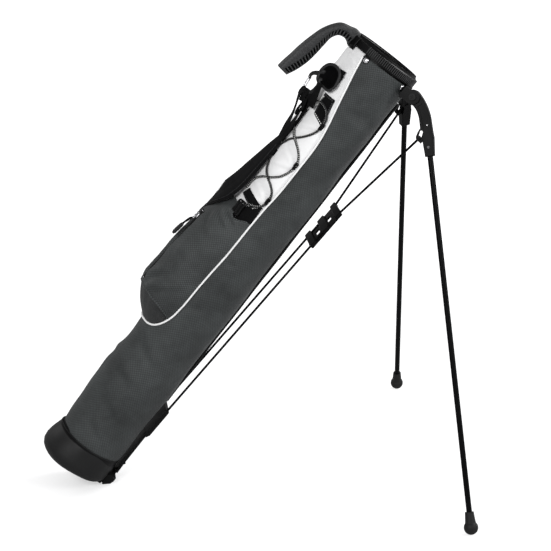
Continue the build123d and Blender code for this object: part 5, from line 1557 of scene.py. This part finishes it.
def floor_material():
    """Glows white to the camera, with a painted contact shadow close under the base; dim as a
    light.
    """
    g = Shader("studio_floor", (0.46, 0.46, 0.465), roughness=0.95, Specular_IOR_Level=0.0)
    path = g.node("LightPath")
    g.set("Emission Color", (1.0, 1.0, 1.0, 1.0))
    from_middle = g.node("VectorMath", operation="LENGTH")
    g.feed(from_middle, 0, g.object_coords())
    # painted contact shadow: the glow is dimmed by up to a third within 0.15 m of a point by the
    # base
    from_base = g.node("VectorMath", operation="DISTANCE")
    g.feed(from_base, 0, g.object_coords())
    g.feed(from_base, 1, (-0.03, 0.0, 0.0))
    near = g.remap(from_base.outputs["Value"], span=(0.0, 0.15), to=(1.0, 0.0))
    painted_shadow = g.math("SUBTRACT", 1.0, g.times(g.times(near, near), 0.34))
    seen = g.remap(path.outputs["Is Camera Ray"], span=(0.0, 1.0), to=(0.15, 1.0))
    falloff = g.remap(from_middle.outputs["Value"], span=(0.9, 2.6), to=(0.72, 1.0))
    g.set("Emission Strength", g.times(painted_shadow, g.times(seen, falloff)))
    return g.material


def studio_floor():
    half = 30.0
    material = floor_material()
    mesh = bpy.data.meshes.new("studio_floor")
    mesh.from_pydata([(-half, -half, 0), (half, -half, 0), (half, half, 0), (-half, half, 0)],
                     [], [(0, 1, 2, 3)])
    mesh.materials.append(material)
    floor = bpy.data.objects.new("studio_floor", mesh)
    scene.collection.objects.link(floor)
    floor.location = (0, 0, -0.0006)


def softbox(name, place, target, size, power):
    light = bpy.data.lights.new(name, "AREA")
    light.shape = "DISK"
    light.size = size
    light.energy = power
    obj = bpy.data.objects.new(name, light)
    scene.collection.objects.link(obj)
    obj.location = place
    aim = Vector(target) - Vector(place)
    obj.rotation_euler = aim.to_track_quat("-Z", "Y").to_euler()


def add_camera():
    # radians: heading from +Y toward +X, tilt below level, roll about the view
    yaw, pitch, roll = 0.12832666140019514, 0.33748314403255736, -0.016604759386937815
    place = [-0.0719221575297831, -3.0034420954722927, 1.4257852124449844]
    view = np.array([math.sin(yaw) * math.cos(pitch), math.cos(yaw) * math.cos(pitch),
                     -math.sin(pitch)])
    level = np.array([math.cos(yaw), -math.sin(yaw), 0.0])
    upright = np.cross(level, view)
    right = level * math.cos(roll) + upright * math.sin(roll)
    up = -level * math.sin(roll) + upright * math.cos(roll)
    camera = bpy.data.cameras.new("camera")
    camera.sensor_width = 36.0
    camera.lens = 120.73253925
    camera.clip_end = 200.0
    obj = bpy.data.objects.new("camera", camera)
    scene.collection.objects.link(obj)
    pose = np.eye(4)
    pose[:3] = np.stack([right, up, -view, place], 1)
    obj.matrix_world = Matrix(pose.tolist())
    scene.camera = obj


studio_world()
studio_floor()
softbox("key_softbox", place=(-1.5, -3.2, 2.6), target=(0.25, 0, 0.45), size=1.3, power=95)
softbox("fill_softbox", place=(2.9, -2.2, 1.9), target=(0.3, 0, 0.45), size=1.3, power=56)
softbox("rim_softbox", place=(2.8, 1.2, 1.9), target=(0.2, 0, 0.45), size=1.0, power=64)
softbox("back_softbox", place=(-2.0, 2.2, 2.4), target=(0.2, 0, 0.45), size=1.5, power=30)
add_camera()
